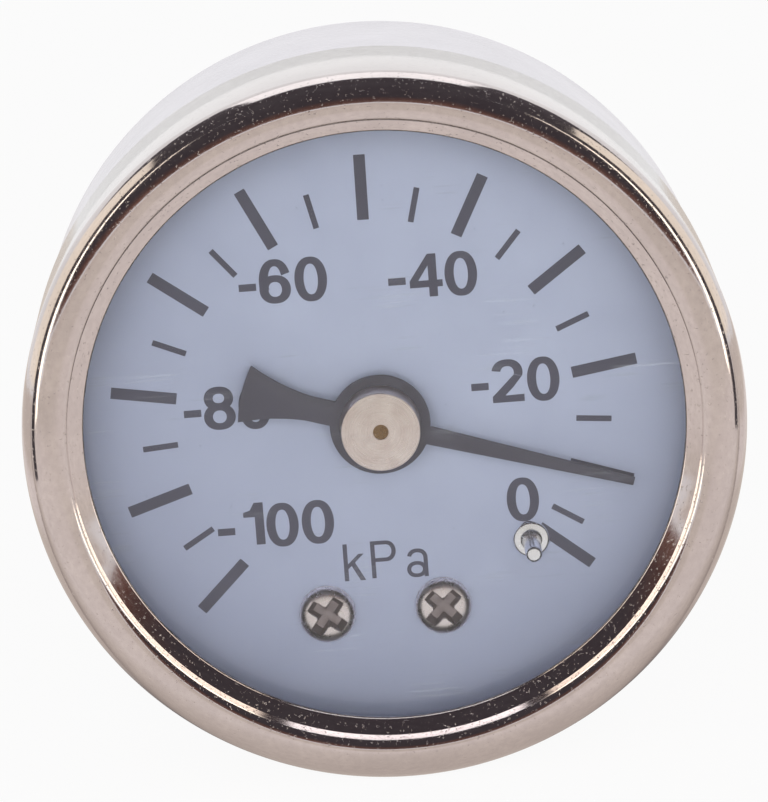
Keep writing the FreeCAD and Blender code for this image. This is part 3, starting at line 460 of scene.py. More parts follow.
def one(at):
    bar([(0.07, 1.3), (0.61, 1.3), (0.61, -1.3), (0.07, -1.3)], at)
    bar([(0.07, 1.3), (0.07, 0.42), (-0.61, 0.42), (-0.61, 0.72), (-0.2, 0.84)], at)


def two(at):
    bow((0, 0.52), (0.93, 0.8), (0.4, 0.38), -80, 190, at)
    bar([(0.86, 0.24), (0.39, 0.37), (-0.3, -0.3), (0.3, -0.42)], at)
    bar([(0.3, -0.42), (-0.3, -0.3), (-0.95, -0.92), (-0.22, -0.92)], at)
    bar([(-0.95, -0.9), (-0.95, -1.3), (0.95, -1.3), (0.95, -0.86)], at)


def four(at):
    bar([(0.15, 1.3), (0.66, 1.3), (0.66, -1.3), (0.15, -1.3)], at)
    bar([(-0.98, -0.3), (-0.98, -0.72), (0.98, -0.72), (0.98, -0.3)], at)
    bar([(0.15, 1.3), (0.15, 0.6), (-0.46, -0.3), (-0.98, -0.3)], at)


def six(at):
    bow((0, -0.47), (0.94, 0.86), (0.4, 0.45), 0, 360, at)
    bow((0.02, 0), (0.96, 1.36), (0.41, 0.93), 240, 188, at)


def eight(at):
    bow((0, 0.6), (0.88, 0.72), (0.34, 0.29), 0, 360, at)
    bow((0, -0.53), (0.95, 0.8), (0.41, 0.39), 0, 360, at)


def minus(at):
    bar([(-0.52, 0.22), (0.52, 0.22), (0.52, -0.22), (-0.52, -0.22)], at)


def letter_k(at):
    bar([(-0.62, 1.15), (-0.36, 1.15), (-0.36, -1.15), (-0.62, -1.15)], at)
    bar([(-0.36, -0.42), (-0.36, -0.1), (0.3, 0.5), (0.62, 0.5)], at)
    bar([(-0.2, -0.13), (0.02, 0.06), (0.66, -1.15), (0.34, -1.15)], at)


def letter_p(at):
    bar([(-0.76, 1.15), (-0.5, 1.15), (-0.5, -1.15), (-0.76, -1.15)], at)
    bar([(-0.5, 1.15), (0.12, 1.15), (0.12, 0.91), (-0.5, 0.91)], at)
    bar([(-0.5, 0.09), (0.12, 0.09), (0.12, -0.15), (-0.5, -0.15)], at)
    bow((0.12, 0.5), (0.64, 0.65), (0.38, 0.41), 0, 180, at)


def letter_a(at):
    bow((0, 0.3), (0.62, 0.58), (0.37, 0.34), -75, 165, at)
    bar([(0.37, 0.3), (0.62, 0.3), (0.62, -0.88), (0.37, -0.88)], at)
    bow((-0.06, -0.4), (0.6, 0.5), (0.35, 0.27), 0, 360, at)


def scale_mark(angle, near, far, width):
    """Mark on the scale, from one radius to another, at a clock angle."""
    along = Vector((math.sin(math.radians(angle)), math.cos(math.radians(angle))))
    across = Vector((along.y, -along.x)) * width / 2
    ends = [along * near - across, along * far - across, along * far + across, along * near + across]
    bar([(end.x / MM, end.y / MM) for end in ends], (0.0, 0.0))


for step in range(zero_step):
    scale_mark(full_vacuum_angle + step_angle * step, *(short_mark if step % 2 else long_mark))
scale_mark(zero_angle, *long_mark)

figures = [
    (minus, -7.05, 8.39), (six, -5.41, 8.64), (nought, -3.26, 8.64),
    (minus, 1.83, 8.08), (four, 3.56, 8.33), (nought, 5.65, 8.3),
    (minus, 6.31, 1.3), (two, 7.98, 1.55), (nought, 10.11, 1.52),
    (minus, -10.92, 0.98), (eight, -9.31, 1.21), (nought, -7.19, 1.12),
    (minus, -9.48, -6.44), (one, -7.8, -6.06), (nought, -6.1, -6.24), (nought, -3.97, -6.23),
    (nought, 8.4, -5.8),
    (letter_k, -2.0, -8.9), (letter_p, -0.2, -8.84), (letter_a, 1.82, -9.22),
]
for figure, x, z in figures:
    figure((x * MM, z * MM))
bmesh.ops.remove_doubles(ink, verts=ink.verts, dist=1e-8)
for point in ink.verts:
    point.co += Vector((dial_x, dial_front - ink_thickness, dial_z))
bmesh.ops.recalc_face_normals(ink, faces=ink.faces)
for face in ink.faces:
    if face.normal.y > 0:
        face.normal_flip()

# Printing ink: a soft near-black with some violet in it, matt and a hair proud of the lacquer.
printing_ink = lacquer("dark_printing_ink", [(0.3, "#454355"), (0.7, "#4d4b5d")], 0.6, 0.001 * MM)
finished("dial_print", ink, [printing_ink], "gauge")


# Stop pin: turned steel with a flange and a coned root, riveted through the dial.
# The pointer comes to rest against it when there is no vacuum.

pin_low, pin_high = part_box("stop_pin")
pin_place = ((pin_low.x + pin_high.x) / 2, (pin_low.z + pin_high.z) / 2)
pin_flange = (pin_high.x - pin_low.x) / 2
pin_radius = 0.5 * MM
pin_root = 0.7 * MM
pin_root_height = 0.8 * MM
pin_flange_height = 0.4 * MM
pin_round = 0.2 * MM
pin_edge = 0.15 * MM
rivet_radius = 0.8 * MM
pin_base = dial_front - pin_flange_height
pin_profile = [(0, pin_low.y)]
pin_profile += corner((pin_radius - pin_round, pin_low.y + pin_round), (pin_round, pin_round), -90, 0, 6)
pin_profile.append((pin_radius, pin_base - pin_root_height))
pin_profile += corner(
    (pin_root, pin_base - pin_root_height), (pin_radius - pin_root, pin_root_height), 0, 75, 8)
pin_profile += corner((pin_flange - pin_edge, pin_base + pin_edge), (pin_edge, pin_edge), -90, 0, 4)
pin_profile += [
    (pin_flange, dial_front),
    (pin_radius, dial_front),
    (pin_radius, dial_back),
    (rivet_radius, dial_back),
    (pin_radius, pin_high.y),
    (0, pin_high.y),
]

# Bright steel: almost white, so that the small pin glitters on the grey-blue dial.
bright_steel = metal(
    "bright_steel", [(0.35, "#f6f6fa"), (0.6, "#fdfdff")], (0.16, 0.3), (0.25 * MM, 0.04 * MM, 0.25 * MM),
    0.003 * MM)
finished(
    "pointer_stop", turned(pin_profile, pin_place, 64), [bright_steel], "gauge",
    ["stop_pin"])


# Cross-recessed pan heads: two small nickel plated ones hold the dial to the socket's tower,
# and two larger zinc plated ones hold the case to the socket's flange from behind.
# The head is cold formed. The cross is punched into it, wider at its mouth, and stays dull inside.

crown_flat_share = 0.55
cross_taper = 0.72
cross_flare = 0.16 * MM
cross_rim_depth = 0.06 * MM
cutter_clearance = 0.1 * MM


def punch(half_x, half_z, near, rim, far, taper, flare, turn, place):
    """Block that cuts one bar of a cross. It tapers from rim to near, and flares from rim to far."""
    shape = bmesh.new()
    bmesh.ops.create_grid(shape, x_segments=1, y_segments=1, size=1.0)
    bmesh.ops.rotate(shape, verts=shape.verts, cent=(0, 0, 0), matrix=Matrix.Rotation(math.pi / 2, 3, "X"))
    for point in shape.verts:
        point.co = Vector((point.co.x * half_x * taper, near, point.co.z * half_z * taper))
    sheet = shape.faces[:]
    for level, wide_x, wide_z in ((rim, half_x, half_z), (far, half_x + flare, half_z + flare)):
        grown = bmesh.ops.extrude_face_region(shape, geom=sheet)
        if level == far:
            bmesh.ops.delete(shape, geom=sheet, context="FACES_ONLY")
        sheet = [piece for piece in grown["geom"] if isinstance(piece, bmesh.types.BMFace)]
        for point in {corner_point for face in sheet for corner_point in face.verts}:
            point.co = Vector((
                math.copysign(wide_x, point.co.x), level, math.copysign(wide_z, point.co.z)))
    spin = Matrix.Rotation(math.radians(turn), 4, "Y")
    move = Matrix.Translation((place[0], 0, place[1]))
    bmesh.ops.transform(shape, matrix=move @ spin, verts=shape.verts)
    return shape


def pan_head(shank_radius, shank_end, head, base, toward, place, turn, cross):
    """Screw with its head's underside at y = base. toward is -1 where the head looks to the front."""
    radius, height, crown = head
    reach, width, depth = cross
    flat = radius * crown_flat_share
    edge = base + toward * (height - crown)
    top = base + toward * height
    profile = [(0, shank_end), (shank_radius, shank_end), (shank_radius, base), (radius, base)]
    profile += corner((flat, edge), (radius - flat, toward * crown), 0, 90, 12)
    profile.append((0, top))
    blank_mesh = bpy.data.meshes.new("screw_blank")
    blank_shape = turned(profile, place, 96)
    bmesh.ops.scale(blank_shape, vec=(1 / MM, 1 / MM, 1 / MM), verts=blank_shape.verts)
    blank_shape.to_mesh(blank_mesh)
    blank_shape.free()
    blank = bpy.data.objects.new("screw_blank", blank_mesh)
    scene.collection.objects.link(blank)
    floor = top - toward * depth
    rim = top - toward * cross_rim_depth
    mouth = top + toward * cutter_clearance
    cutters = [
        punch(reach, width / 2, floor, rim, mouth, cross_taper, cross_flare, turn + quarter, place)
        for quarter in (0, 90)]
    centre_cut = turned([
        (0, floor - toward * depth * 0.3), (width * 0.6, floor), (width * 0.85, rim),
        (width * 0.85 + cross_flare, mouth), (0, mouth)], place, 48)
    cutters.append(centre_cut)
    stubs = [bpy.data.materials.new(name) for name in ("plating", "recess")]
    for stub in stubs:
        blank_mesh.materials.append(stub)
    tools = []
    for cutter in cutters:
        for face in cutter.faces:
            face.material_index = 0 if all((p.co.y - rim) * toward > -1e-7 for p in face.verts) else 1
        bmesh.ops.recalc_face_normals(cutter, faces=cutter.faces)
        bmesh.ops.scale(cutter, vec=(1 / MM, 1 / MM, 1 / MM), verts=cutter.verts)
        cutter_mesh = bpy.data.meshes.new("cross_cutter")
        cutter.to_mesh(cutter_mesh)
        cutter.free()
        tool = bpy.data.objects.new("cross_cutter", cutter_mesh)
        scene.collection.objects.link(tool)
        cut = blank.modifiers.new("cross", "BOOLEAN")
        cut.operation = "DIFFERENCE"
        cut.solver = "EXACT"
        cut.object = tool
        tools.append(tool)
    bpy.context.view_layer.update()
    result = bmesh.new()
    result.from_object(blank, bpy.context.evaluated_depsgraph_get())
    for done in tools + [blank]:
        bpy.data.objects.remove(done)
    for stub in stubs:
        bpy.data.materials.remove(stub)
    bmesh.ops.remove_doubles(result, verts=result.verts, dist=1e-5)
    bmesh.ops.scale(result, vec=(MM, MM, MM), verts=result.verts)
    return result


# Nickel plate: a pinkish silver, half bright. Zinc plate: a cooler, bluish grey.
# The recess is the same plating where the punch has left it rough, so it is dull, and its darker colour is
# painted shade.
nickel_plate = metal(
    "nickel_plate", [(0.35, "#e9dfdf"), (0.6, "#f6eeed")], (0.22, 0.34), (0.8 * MM, 0.8 * MM, 0.8 * MM),
    0.0015 * MM)
zinc_plate = metal(
    "zinc_plate", [(0.35, "#bfc1c6"), (0.6, "#dcdee2")], (0.18, 0.32), (0.8 * MM, 0.8 * MM, 0.8 * MM),
    0.0015 * MM)
# Painted shade: the cross recess is given a darker colour than the plating round it.
rough_recess_and_painted_shade = metal(
    "rough_recess_and_painted_shade", [(0.35, "#ab9fa1"), (0.6, "#c4b9bb")], (0.4, 0.55), (0.3 * MM, 0.3 * MM, 0.3 * MM),
    0.004 * MM)
dial_screw_spacing = 7.0 * MM
dial_screw_shank = 0.8 * MM
dial_screw_reach = 4.5 * MM
dial_screws_low, dial_screws_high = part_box("dial_screws")
dial_screws_x = (dial_screws_low.x + dial_screws_high.x) / 2
dial_screws_z = (dial_screws_low.z + dial_screws_high.z) / 2
dial_screw_head = (1.68 * MM, 1.0 * MM, 0.45 * MM)
dial_screw_cross = (1.22 * MM, 0.7 * MM, 0.65 * MM)
dial_screws = []
for side, turn in ((-1, 37.0), (1, 45.0)):
    place = (dial_screws_x + side * dial_screw_spacing / 2, dial_screws_z)
    dial_screws.append(pan_head(
        dial_screw_shank, dial_front + dial_screw_reach, dial_screw_head, dial_front, -1, place, turn,
        dial_screw_cross))
dial_screw_metals = [nickel_plate, rough_recess_and_painted_shade]
finished("dial_screw_left", dial_screws[0], dial_screw_metals, "gauge", ["dial_screws"])
finished("dial_screw_right", dial_screws[1], dial_screw_metals, "gauge")

case_screw_offset = 10.3 * MM
case_screw_shank = 1.0 * MM
case_screw_reach = 2.7 * MM
case_screw_head = (2.0 * MM, 1.3 * MM, 0.6 * MM)
case_screw_cross = (1.5 * MM, 0.85 * MM, 0.9 * MM)
case_screws = []
for side, turn in ((-1, 20.0), (1, 63.0)):
    case_screws.append(pan_head(
        case_screw_shank, case_back - case_wall - case_screw_reach, case_screw_head, case_back, 1,
        (0.0, side * case_screw_offset), turn, case_screw_cross))
case_screw_metals = [zinc_plate, rough_recess_and_painted_shade]
finished("case_screw_lower", case_screws[0], case_screw_metals, "gauge", ["case_screws"])
finished("case_screw_upper", case_screws[1], case_screw_metals, "gauge")


# Pointer: stamped from thin aluminium and lacquered dark, with a tapered blade and a fan tail.
# The stamping has left its edges a little rounded.

pointer_edge = 0.03 * MM
pointer_shape = bmesh.new()
pointer_shape.from_mesh(frame["nodes"]["pointer"].data)
bmesh.ops.remove_doubles(pointer_shape, verts=pointer_shape.verts, dist=1e-7)
bmesh.ops.dissolve_limit(
    pointer_shape, angle_limit=math.radians(1), verts=pointer_shape.verts, edges=pointer_shape.edges)
rims = [e for e in pointer_shape.edges if e.calc_face_angle(0) > math.radians(60)
        and abs(e.verts[0].co.y - e.verts[1].co.y) < 1e-6]
bmesh.ops.bevel(
    pointer_shape, geom=rims, offset=pointer_edge, segments=2, affect="EDGES", profile=0.5, material=-1)

# Charcoal lacquer: a thin matt coat, a soft grey-black with some violet.
charcoal_lacquer = lacquer("charcoal_lacquer", [(0.3, "#423f4d"), (0.7, "#4a4755")], 0.5, 0.002 * MM)
finished("pointer_plate", pointer_shape, [charcoal_lacquer], "pointer_group", ["pointer"])


# Pointer hub: turned from brass and nickel plated, with a small hole that shows the arbor's end.
# The turning has left fine rings on its face.

hub_low, hub_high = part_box("pointer_hub")
pointer_low, pointer_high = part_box("pointer")
hub_place = ((hub_low.x + hub_high.x) / 2, (hub_low.z + hub_high.z) / 2)
hub_base = (hub_high.x - hub_low.x) / 2
hub_top = 2.35 * MM
hub_edge = 0.04 * MM
hub_mouth = 0.46 * MM
hub_mouth_depth = 0.15 * MM
hub_stem = 1.2 * MM
hub_rivet = 1.5 * MM
arbor_nose = 0.5 * MM


def turned_face(name, tones, roughness, place_on_dial, ring_size, ring_depth):
    """Plated metal with fine turning rings about an axis along Y."""
    material, tree, shader, place = new_material(name)
    centred = add(tree, "Mapping", {
        "Vector": place, "Location": (-place_on_dial[0], 0, -place_on_dial[1]), "Scale": (1, 0, 1)})
    distance = add(tree, "VectorMath", {0: centred.outputs["Vector"]}, operation="LENGTH")
    spacing = add(tree, "Math", {0: distance.outputs["Value"], 1: 1 / ring_size}, operation="MULTIPLY")
    rings = add(
        tree, "TexNoise", {"W": spacing.outputs[0], "Scale": 1.0, "Detail": 2.0}, noise_dimensions="1D")
    stain = add(tree, "TexNoise", {"Vector": place, "Scale": 1 / (0.9 * MM), "Detail": 4.0})
    tree.links.new(ramp(tree, stain.outputs["Fac"], tones), shader.inputs["Base Color"])
    sheen = add(tree, "MapRange", {
        "Value": rings.outputs["Fac"], "From Min": 0.3, "From Max": 0.7,
        "To Min": roughness[0], "To Max": roughness[1]})
    tree.links.new(sheen.outputs["Result"], shader.inputs["Roughness"])
    shader.inputs["Metallic"].default_value = 1.0
    bump = add(tree, "Bump", {"Height": rings.outputs["Fac"], "Strength": 1.0, "Distance": ring_depth})
    tree.links.new(bump.outputs["Normal"], shader.inputs["Normal"])
    return material


hub_profile = [
    (arbor_nose, hub_low.y + hub_mouth_depth),
    (hub_mouth, hub_low.y + hub_mouth_depth),
    (hub_mouth, hub_low.y),
]
hub_profile += corner((hub_top - hub_edge, hub_low.y + hub_edge), (hub_edge, hub_edge), -90, 0, 6)
hub_profile += [
    (hub_base, pointer_low.y),
    (hub_stem, pointer_low.y),
    (hub_stem, pointer_high.y),
    (hub_rivet, pointer_high.y),
    (hub_rivet, hub_high.y),
    (arbor_nose, hub_high.y),
]

# Turned nickel: a warm pinkish silver that fans the light into faint rings.
# The tool's real feed is finer, and the rings are drawn as coarse as they need to be to show.
hub_nickel = turned_face(
    "turned_nickel", [(0.3, "#e3d3ce"), (0.7, "#f4e8e3")], (0.24, 0.36), hub_place, 0.05 * MM, 0.0006 * MM)
finished(
    "hub", turned(hub_profile, hub_place, 128), [hub_nickel], "pointer_group",
    ["pointer_hub"])


# Socket: one block of brass, sawn and milled, with the wrench flats and the 1/8 inch pipe thread.
# The thread is cut with 28 turns to the inch and stops at the shoulder.

socket_low, socket_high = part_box("socket")
thread_crest = 4.864 * MM
thread_root = 4.283 * MM
thread_pitch = 25.4 / 28 * MM
thread_chamfer = 0.9 * MM
thread_end = socket_high.y
thread_cut = 0.02 * MM
port_wall = 3 * MM
core_share = 0.97
core_shoulder = 0.35 * MM
port_radius = 1.5 * MM
port_chamfer = 0.3 * MM
around = 96

block = bmesh.new()
block.from_mesh(frame["nodes"]["socket"].data)
bmesh.ops.remove_doubles(block, verts=block.verts, dist=1e-7)
cut = bmesh.ops.bisect_plane(
    block, geom=block.verts[:] + block.edges[:] + block.faces[:], dist=1e-7,
    plane_co=(0, thread_cut, 0), plane_no=(0, 1, 0), clear_outer=True)
rim = [e for e in cut["geom_cut"] if isinstance(e, bmesh.types.BMEdge)]
outer_rim = [e for e in rim if (e.verts[0].co - Vector((0, e.verts[0].co.y, 0))).length > port_wall]
inner_rim = [e for e in rim if e not in outer_rim]
bmesh.ops.bridge_loops(block, edges=outer_rim + inner_rim)
bmesh.ops.recalc_face_normals(block, faces=block.faces)

# Milled brass: a clean yellow with fine marks across the stem.
milled_brass = metal(
    "milled_brass", [(0.35, "#b98f4b"), (0.6, "#d6b069")], (0.2, 0.36),
    (1.5 * MM, 0.06 * MM, 1.5 * MM), 0.0015 * MM)
finished("socket_block", block, [milled_brass], "gauge", ["socket"])

thread = bmesh.new()
rows = []
turns = int(thread_end / thread_pitch) + 2
for quarter in range(4 * turns + 1):
    row = []
    for i in range(around):
        angle = 2 * math.pi * i / around
        y = thread_pitch * (quarter / 4 + i / around - 1)
        radius = thread_crest if quarter % 4 in (1, 2) else thread_root
        y = min(max(y, 0.0), thread_end)
        radius = min(radius, thread_crest - thread_chamfer + (thread_end - y))
        row.append(thread.verts.new((radius * math.sin(angle), y, radius * math.cos(angle))))
    rows.append(row)
for quarter in range(4 * turns):
    for i in range(around):
        next_row, ahead = (quarter, i + 1) if i + 1 < around else (quarter + 4, 0)
        if next_row + 1 < len(rows):
            thread.faces.new((
                rows[quarter][i], rows[next_row][ahead], rows[next_row + 1][ahead], rows[quarter + 1][i]))
bmesh.ops.remove_doubles(thread, verts=thread.verts, dist=1e-6)
bmesh.ops.dissolve_degenerate(thread, edges=thread.edges, dist=1e-7)
bmesh.ops.recalc_face_normals(thread, faces=thread.faces)
finished("socket_thread", thread, [milled_brass], "gauge", crease=25.0)

nose_profile = [
    (thread_root * core_share, 0.0),
    (thread_root * core_share, thread_end - core_shoulder),
    (thread_crest - thread_chamfer, thread_end),
    (port_radius + port_chamfer, thread_end),
    (port_radius, thread_end - port_chamfer),
    (port_radius, 0.0),
]
finished("socket_nose", turned(nose_profile, steps=96), [milled_brass], "gauge")


# Movement and tube: stamped brass plates, turned pillars and arbors, a drawn bronze tube and a
# rolled bronze hairspring. All of it but the arbor's end sits out of sight behind the dial.

# Stamped brass: the yellow of the sheet with its rolling marks. Aged brass: the arbor's end, browned
# in the air, a dark dot in the hub. Drawn bronze: redder, with long marks along the tube and the strip.
stamped_brass = metal(
    "stamped_brass", [(0.35, "#bd9450"), (0.6, "#d9b56f")], (0.25, 0.4),
    (1 * MM, 1 * MM, 0.08 * MM), 0.001 * MM)
aged_brass = metal(
    "aged_brass", [(0.35, "#7d5f3c"), (0.6, "#a58458")], (0.2, 0.4),
    (0.2 * MM, 0.2 * MM, 0.2 * MM), 0.003 * MM)
drawn_bronze = metal(
    "drawn_bronze", [(0.35, "#a56f45"), (0.6, "#c68f60")], (0.22, 0.38),
    (3 * MM, 0.2 * MM, 3 * MM), 0.001 * MM)
finishes = {
    "brass_turned": milled_brass,
    "brass_sheet": stamped_brass,
    "bronze_tube": drawn_bronze,
    "bronze_spring": drawn_bronze,
    "steel_bright": bright_steel,
    "nickel_bright": nickel_plate,
}
slots = {part["node"]: part["material_slot"] for part in frame["record"]["subparts"]}
for name, node in frame["nodes"].items():
    if slots[name] in finishes and not node.hide_render:
        node.data.materials.clear()
        node.data.materials.append(aged_brass if name == "pinion_arbor" else finishes[slots[name]])


# Studio: a white room with a pale floor. Cards that only metal and glass mirror stand round the gauge:
# a beige mat on the table, darker next to the gauge as painted shadow, and a low wall in front, a dark hood
# over the front and the top, soft boxes under it, and a narrow arch of light, with a small black arch that
# hides it from the upper rim.

floor_side = 1.2
floor_gap = 0.02 * MM
floor_share = 0.93
floor_bounce = 0.5


def seen_share(tree):
    """One for rays from the camera and from metal and glass, and nought for the rays that light things."""
    path = add(tree, "LightPath")
    first = add(
        tree, "Math", {0: path.outputs["Is Camera Ray"], 1: path.outputs["Is Glossy Ray"]}, operation="ADD")
    all_three = add(
        tree, "Math", {0: first.outputs[0], 1: path.outputs["Is Transmission Ray"]}, operation="ADD",
        use_clamp=True)
    return all_three.outputs[0]


# Pale floor: nearly plain white to the eye and in metal, with a share of matt paint that keeps a shadow.
floor_shape = bmesh.new()
bmesh.ops.create_grid(floor_shape, x_segments=1, y_segments=1, size=floor_side / 2)
bmesh.ops.translate(floor_shape, vec=(0, 0, bezel_low.z - floor_gap), verts=floor_shape.verts)
floor_mesh = bpy.data.meshes.new("studio_floor")
floor_shape.to_mesh(floor_mesh)
floor_shape.free()
floor = bpy.data.objects.new("studio_floor", floor_mesh)
scene.collection.objects.link(floor)
floor_paint = bpy.data.materials.new("pale_floor")
floor_paint.use_nodes = True
floor_tree = floor_paint.node_tree
floor_tree.nodes.remove(floor_tree.nodes["Principled BSDF"])
floor_colour = add(floor_tree, "BsdfDiffuse", {"Color": linear("#f6f4f4")})
floor_white = add(floor_tree, "Emission", {"Color": linear("#ffffff"), "Strength": 1.0})
share = add(floor_tree, "MapRange", {
    "Value": seen_share(floor_tree), "To Min": floor_bounce, "To Max": floor_share})
floor_mix = add(floor_tree, "MixShader", {
    0: share.outputs["Result"], 1: floor_colour.outputs[0], 2: floor_white.outputs[0]})
floor_tree.links.new(floor_mix.outputs[0], floor_tree.nodes["Material Output"].inputs["Surface"])
floor_mesh.materials.append(floor_paint)

surround = bpy.data.worlds.new("studio_surround")
scene.world = surround
surround.use_nodes = True
sky = surround.node_tree
facing = add(sky, "SeparateXYZ", {"Vector": add(sky, "TexCoord").outputs["Generated"]})
low_in_front = add(
    sky, "Math", {0: facing.outputs["Z"], 1: 0.6, 2: facing.outputs["Y"]}, operation="MULTIPLY_ADD")
room_light = add(sky, "MapRange", {
    "Value": low_in_front.outputs[0], "From Min": -1.0, "From Max": 0.1, "To Min": 1.5, "To Max": 0.4})
brightness = add(sky, "MapRange", {
    "Value": seen_share(sky), "To Min": room_light.outputs["Result"], "To Max": 1.0})
background = sky.nodes["Background"]
background.inputs["Color"].default_value = linear("#ffffff")
sky.links.new(brightness.outputs["Result"], background.inputs["Strength"])


def card(name, shape, stops, strength, way="height", mottle=0.0):
    """Card that only mirroring surfaces see. Its colour follows the height above the horizon in front
    or the clock angle, in half turns, or the distance to the front or the side, in metres."""
    mesh = bpy.data.meshes.new(name)
    shape.to_mesh(mesh)
    shape.free()
    paper = bpy.data.materials.new(name)
    paper.use_nodes = True
    tree = paper.node_tree
    tree.nodes.remove(tree.nodes["Principled BSDF"])
    place = add(tree, "TexCoord").outputs["Object"]
    axes = add(tree, "SeparateXYZ", {"Vector": place})
    frontward = add(tree, "Math", {0: axes.outputs["Y"], 1: -1.0}, operation="MULTIPLY").outputs[0]
    sideways = add(tree, "Math", {0: axes.outputs["X"]}, operation="ABSOLUTE").outputs[0]
    turns = {"height": (axes.outputs["Z"], frontward), "clock": (sideways, axes.outputs["Z"])}
    if way in turns:
        turn = add(tree, "Math", {0: turns[way][0], 1: turns[way][1]}, operation="ARCTAN2").outputs[0]
        part = add(tree, "Math", {0: turn, 1: 1 / math.pi}, operation="MULTIPLY").outputs[0]
    else:
        part = frontward if way == "front" else sideways
    if mottle:
        cloud = add(tree, "TexNoise", {"Vector": place, "Scale": 12.0, "Detail": 5.0, "Roughness": 0.7})
        shift = add(tree, "Math", {0: cloud.outputs["Fac"], 1: 0.5}, operation="SUBTRACT")
        part = add(
            tree, "Math", {0: shift.outputs[0], 1: mottle, 2: part}, operation="MULTIPLY_ADD").outputs[0]
    glow = add(tree, "Emission", {"Color": ramp(tree, part, stops), "Strength": strength})
    tree.links.new(glow.outputs[0], tree.nodes["Material Output"].inputs["Surface"])
    mesh.materials.append(paper)
    holder = bpy.data.objects.new(name, mesh)
    scene.collection.objects.link(holder)
    holder.visible_camera = False
    holder.visible_diffuse = False
    holder.visible_shadow = False


def arched(radius, half_width, low, high):
    """Sheet bent about the X axis, from one height above the front horizon to another, in degrees."""
    sheet = bmesh.new()
    start = math.radians(low)
    ends = [
        sheet.verts.new((x, -radius * math.cos(start), radius * math.sin(start)))
        for x in (-half_width, half_width)]
    line = sheet.edges.new(ends)
    bmesh.ops.spin(
        sheet, geom=ends + [line], cent=(0, 0, 0), axis=(-1, 0, 0), angle=math.radians(high - low), steps=32)
    return sheet


def hooped(radius, front, back, span, lean=0.0):
    """Sheet bent about the Y axis over the gauge, between two places along Y, leaning to the front."""
    sheet = bmesh.new()
    start = math.radians(-span)
    ends = [
        sheet.verts.new((radius * math.sin(start), y, radius * math.cos(start))) for y in (front, back)]
    line = sheet.edges.new(ends)
    bmesh.ops.spin(
        sheet, geom=ends + [line], cent=(0, 0, 0), axis=(0, 1, 0), angle=math.radians(2 * span), steps=48)
    bmesh.ops.rotate(
        sheet, verts=sheet.verts, cent=(0, (front + back) / 2, 0),
        matrix=Matrix.Rotation(math.radians(-lean), 3, "X"))
    return sheet


def flat_card(low, high):
    """Flat sheet between two opposite corners that share one coordinate."""
    sheet = bmesh.new()
    same = [i for i in range(3) if low[i] == high[i]][0]
    first, second = [i for i in range(3) if i != same]
    corners = []
    for a, b in ((low, low), (high, low), (high, high), (low, high)):
        point = list(low)
        point[first] = a[first]
        point[second] = b[second]
        corners.append(sheet.verts.new(point))
    sheet.faces.new(corners)
    return sheet


mat_height = bezel_low.z - floor_gap / 2
mat_side = floor_side / 2
mat_seam = -0.026
mat_back = 0.2
# Painted shadow: the darker stops next to the gauge stand for its shadow on the mat, as the metal mirrors
# it.
front_beige_and_painted_shadow = [
    (0.026, "#a69b95"), (0.029, "#c9beb5"), (0.034, "#dfd5cc"), (0.043, "#f2e9e3"), (0.1, "#f0e6df"),
    (0.15, "#e4dad0")]
side_beige_and_painted_shadow = [
    (0.018, "#8f8785"), (0.026, "#d8cdc4"), (0.05, "#e2d8ce"), (0.06, "#f6ede8"), (0.085, "#f6ede8"),
    (0.1, "#e4dad0")]
mats = [
    ("mat_in_front", (-mat_side, -mat_side), (mat_side, mat_seam), front_beige_and_painted_shadow, "front"),
    ("mat_at_left", (-mat_side, mat_seam), (0, mat_back), side_beige_and_painted_shadow, "side"),
    ("mat_at_right", (0, mat_seam), (mat_side, mat_back), side_beige_and_painted_shadow, "side"),
]
for name, low, high, beige, way in mats:
    card(name, flat_card((*low, mat_height), (*high, mat_height)), beige, 1.0, way)
card("wall_in_front", arched(0.62, 0.9, -3, 9), [(0.0, "#e4dad0"), (0.06, "#d9cbc0")], 1.0)
card("dark_hood", arched(0.55, 0.9, 12, 137), [
    (0.05, "#8a6458"), (0.11, "#5f4640"), (0.17, "#453f43"), (0.5, "#4a4549"), (0.75, "#5b565a")],
    1.0, mottle=0.12)
white = [(0.0, "#ffffff"), (1.0, "#ffffff")]
card("overhead_soft_box", arched(0.45, 0.17, 102, 136), white, 1.5)
warm_white = [(0.0, "#fff2dc"), (1.0, "#fff7ea")]
for name, reach in (("left_soft_box", -0.42), ("right_soft_box", 0.42)):
    card(name, flat_card((reach, -0.13, 0.0), (reach, 0.24, 0.44)), warm_white, 1.2)
card("arch_light", hooped(0.17, -0.109, -0.087, 96.0, 10.7), [
    (0.145, "#ffffff"), (0.16, "#312d30"), (0.185, "#312d30"), (0.2, "#fff4e2")], 3.2, "clock")
card("black_arch", hooped(0.04, -0.0386, -0.034, 100.0), [(0.0, "#4a4549"), (1.0, "#4a4549")], 1.0)


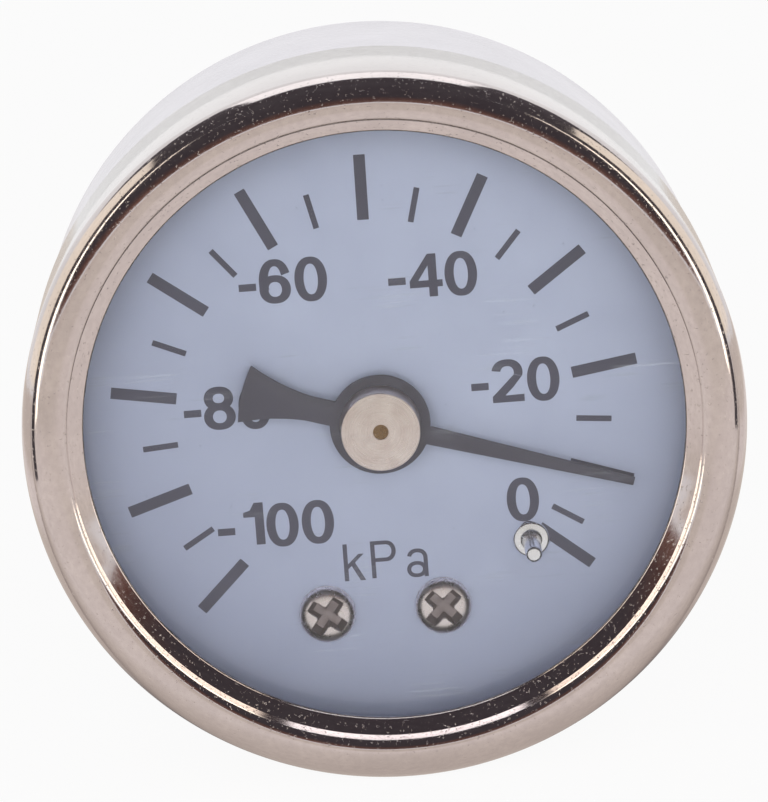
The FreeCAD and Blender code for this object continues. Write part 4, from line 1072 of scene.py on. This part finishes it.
def lamp(name, place, size, power, tint):
    """Soft square lamp that looks at the dial, and isn't itself mirrored in the metal."""
    light = bpy.data.lights.new(name, "AREA")
    light.shape = "SQUARE"
    light.size = size
    light.energy = power
    light.color = linear(tint)[:3]
    holder = bpy.data.objects.new(name, light)
    holder.location = place
    aim = Vector((0, dial_front, 0)) - Vector(place)
    holder.rotation_euler = aim.to_track_quat("-Z", "Y").to_euler()
    holder.visible_glossy = False
    scene.collection.objects.link(holder)


lamp("key_lamp", (-0.05, -0.6, 0.13), 0.3, 1.1, "#fdfcff")
lamp("front_lamp", (0.06, -0.62, 0.03), 0.3, 0.9, "#fffdfb")


# Camera: in front of the dial and a little above it. The gauge is turned a few degrees
# anticlockwise about its stem in the photograph, so the camera is turned the other way here.

image_height_px = 802
focal_length_px = 5000.0
sensor_side = 36.0
camera_tilt = math.radians(13.0)
camera_yaw = math.radians(1.0)
camera_roll = math.radians(4.2)
camera_distance = 293.0 * MM
aim_right = 0.05 * MM
aim_up = -1.6 * MM
rim_depth = 1.9 * MM

forward = Vector((
    math.sin(camera_yaw) * math.cos(camera_tilt),
    math.cos(camera_yaw) * math.cos(camera_tilt),
    -math.sin(camera_tilt)))
right = Vector((math.cos(camera_yaw), -math.sin(camera_yaw), 0))
up = right.cross(forward)
rim = Vector((0, bezel_crest + rim_depth, 0))
stand = rim - right * aim_right - up * aim_up - forward * camera_distance
pose = Matrix((
    (right.x, up.x, -forward.x, stand.x),
    (right.y, up.y, -forward.y, stand.y),
    (right.z, up.z, -forward.z, stand.z),
    (0, 0, 0, 1)))
lens = bpy.data.cameras.new("camera")
lens.sensor_fit = "VERTICAL"
lens.sensor_height = sensor_side
lens.lens = focal_length_px * sensor_side / image_height_px
lens.clip_start = 0.01
lens.clip_end = 10.0
camera = bpy.data.objects.new("camera", lens)
camera.matrix_world = Matrix.Rotation(camera_roll, 4, "Y") @ pose
scene.collection.objects.link(camera)
scene.camera = camera
scene.view_settings.view_transform = "Standard"
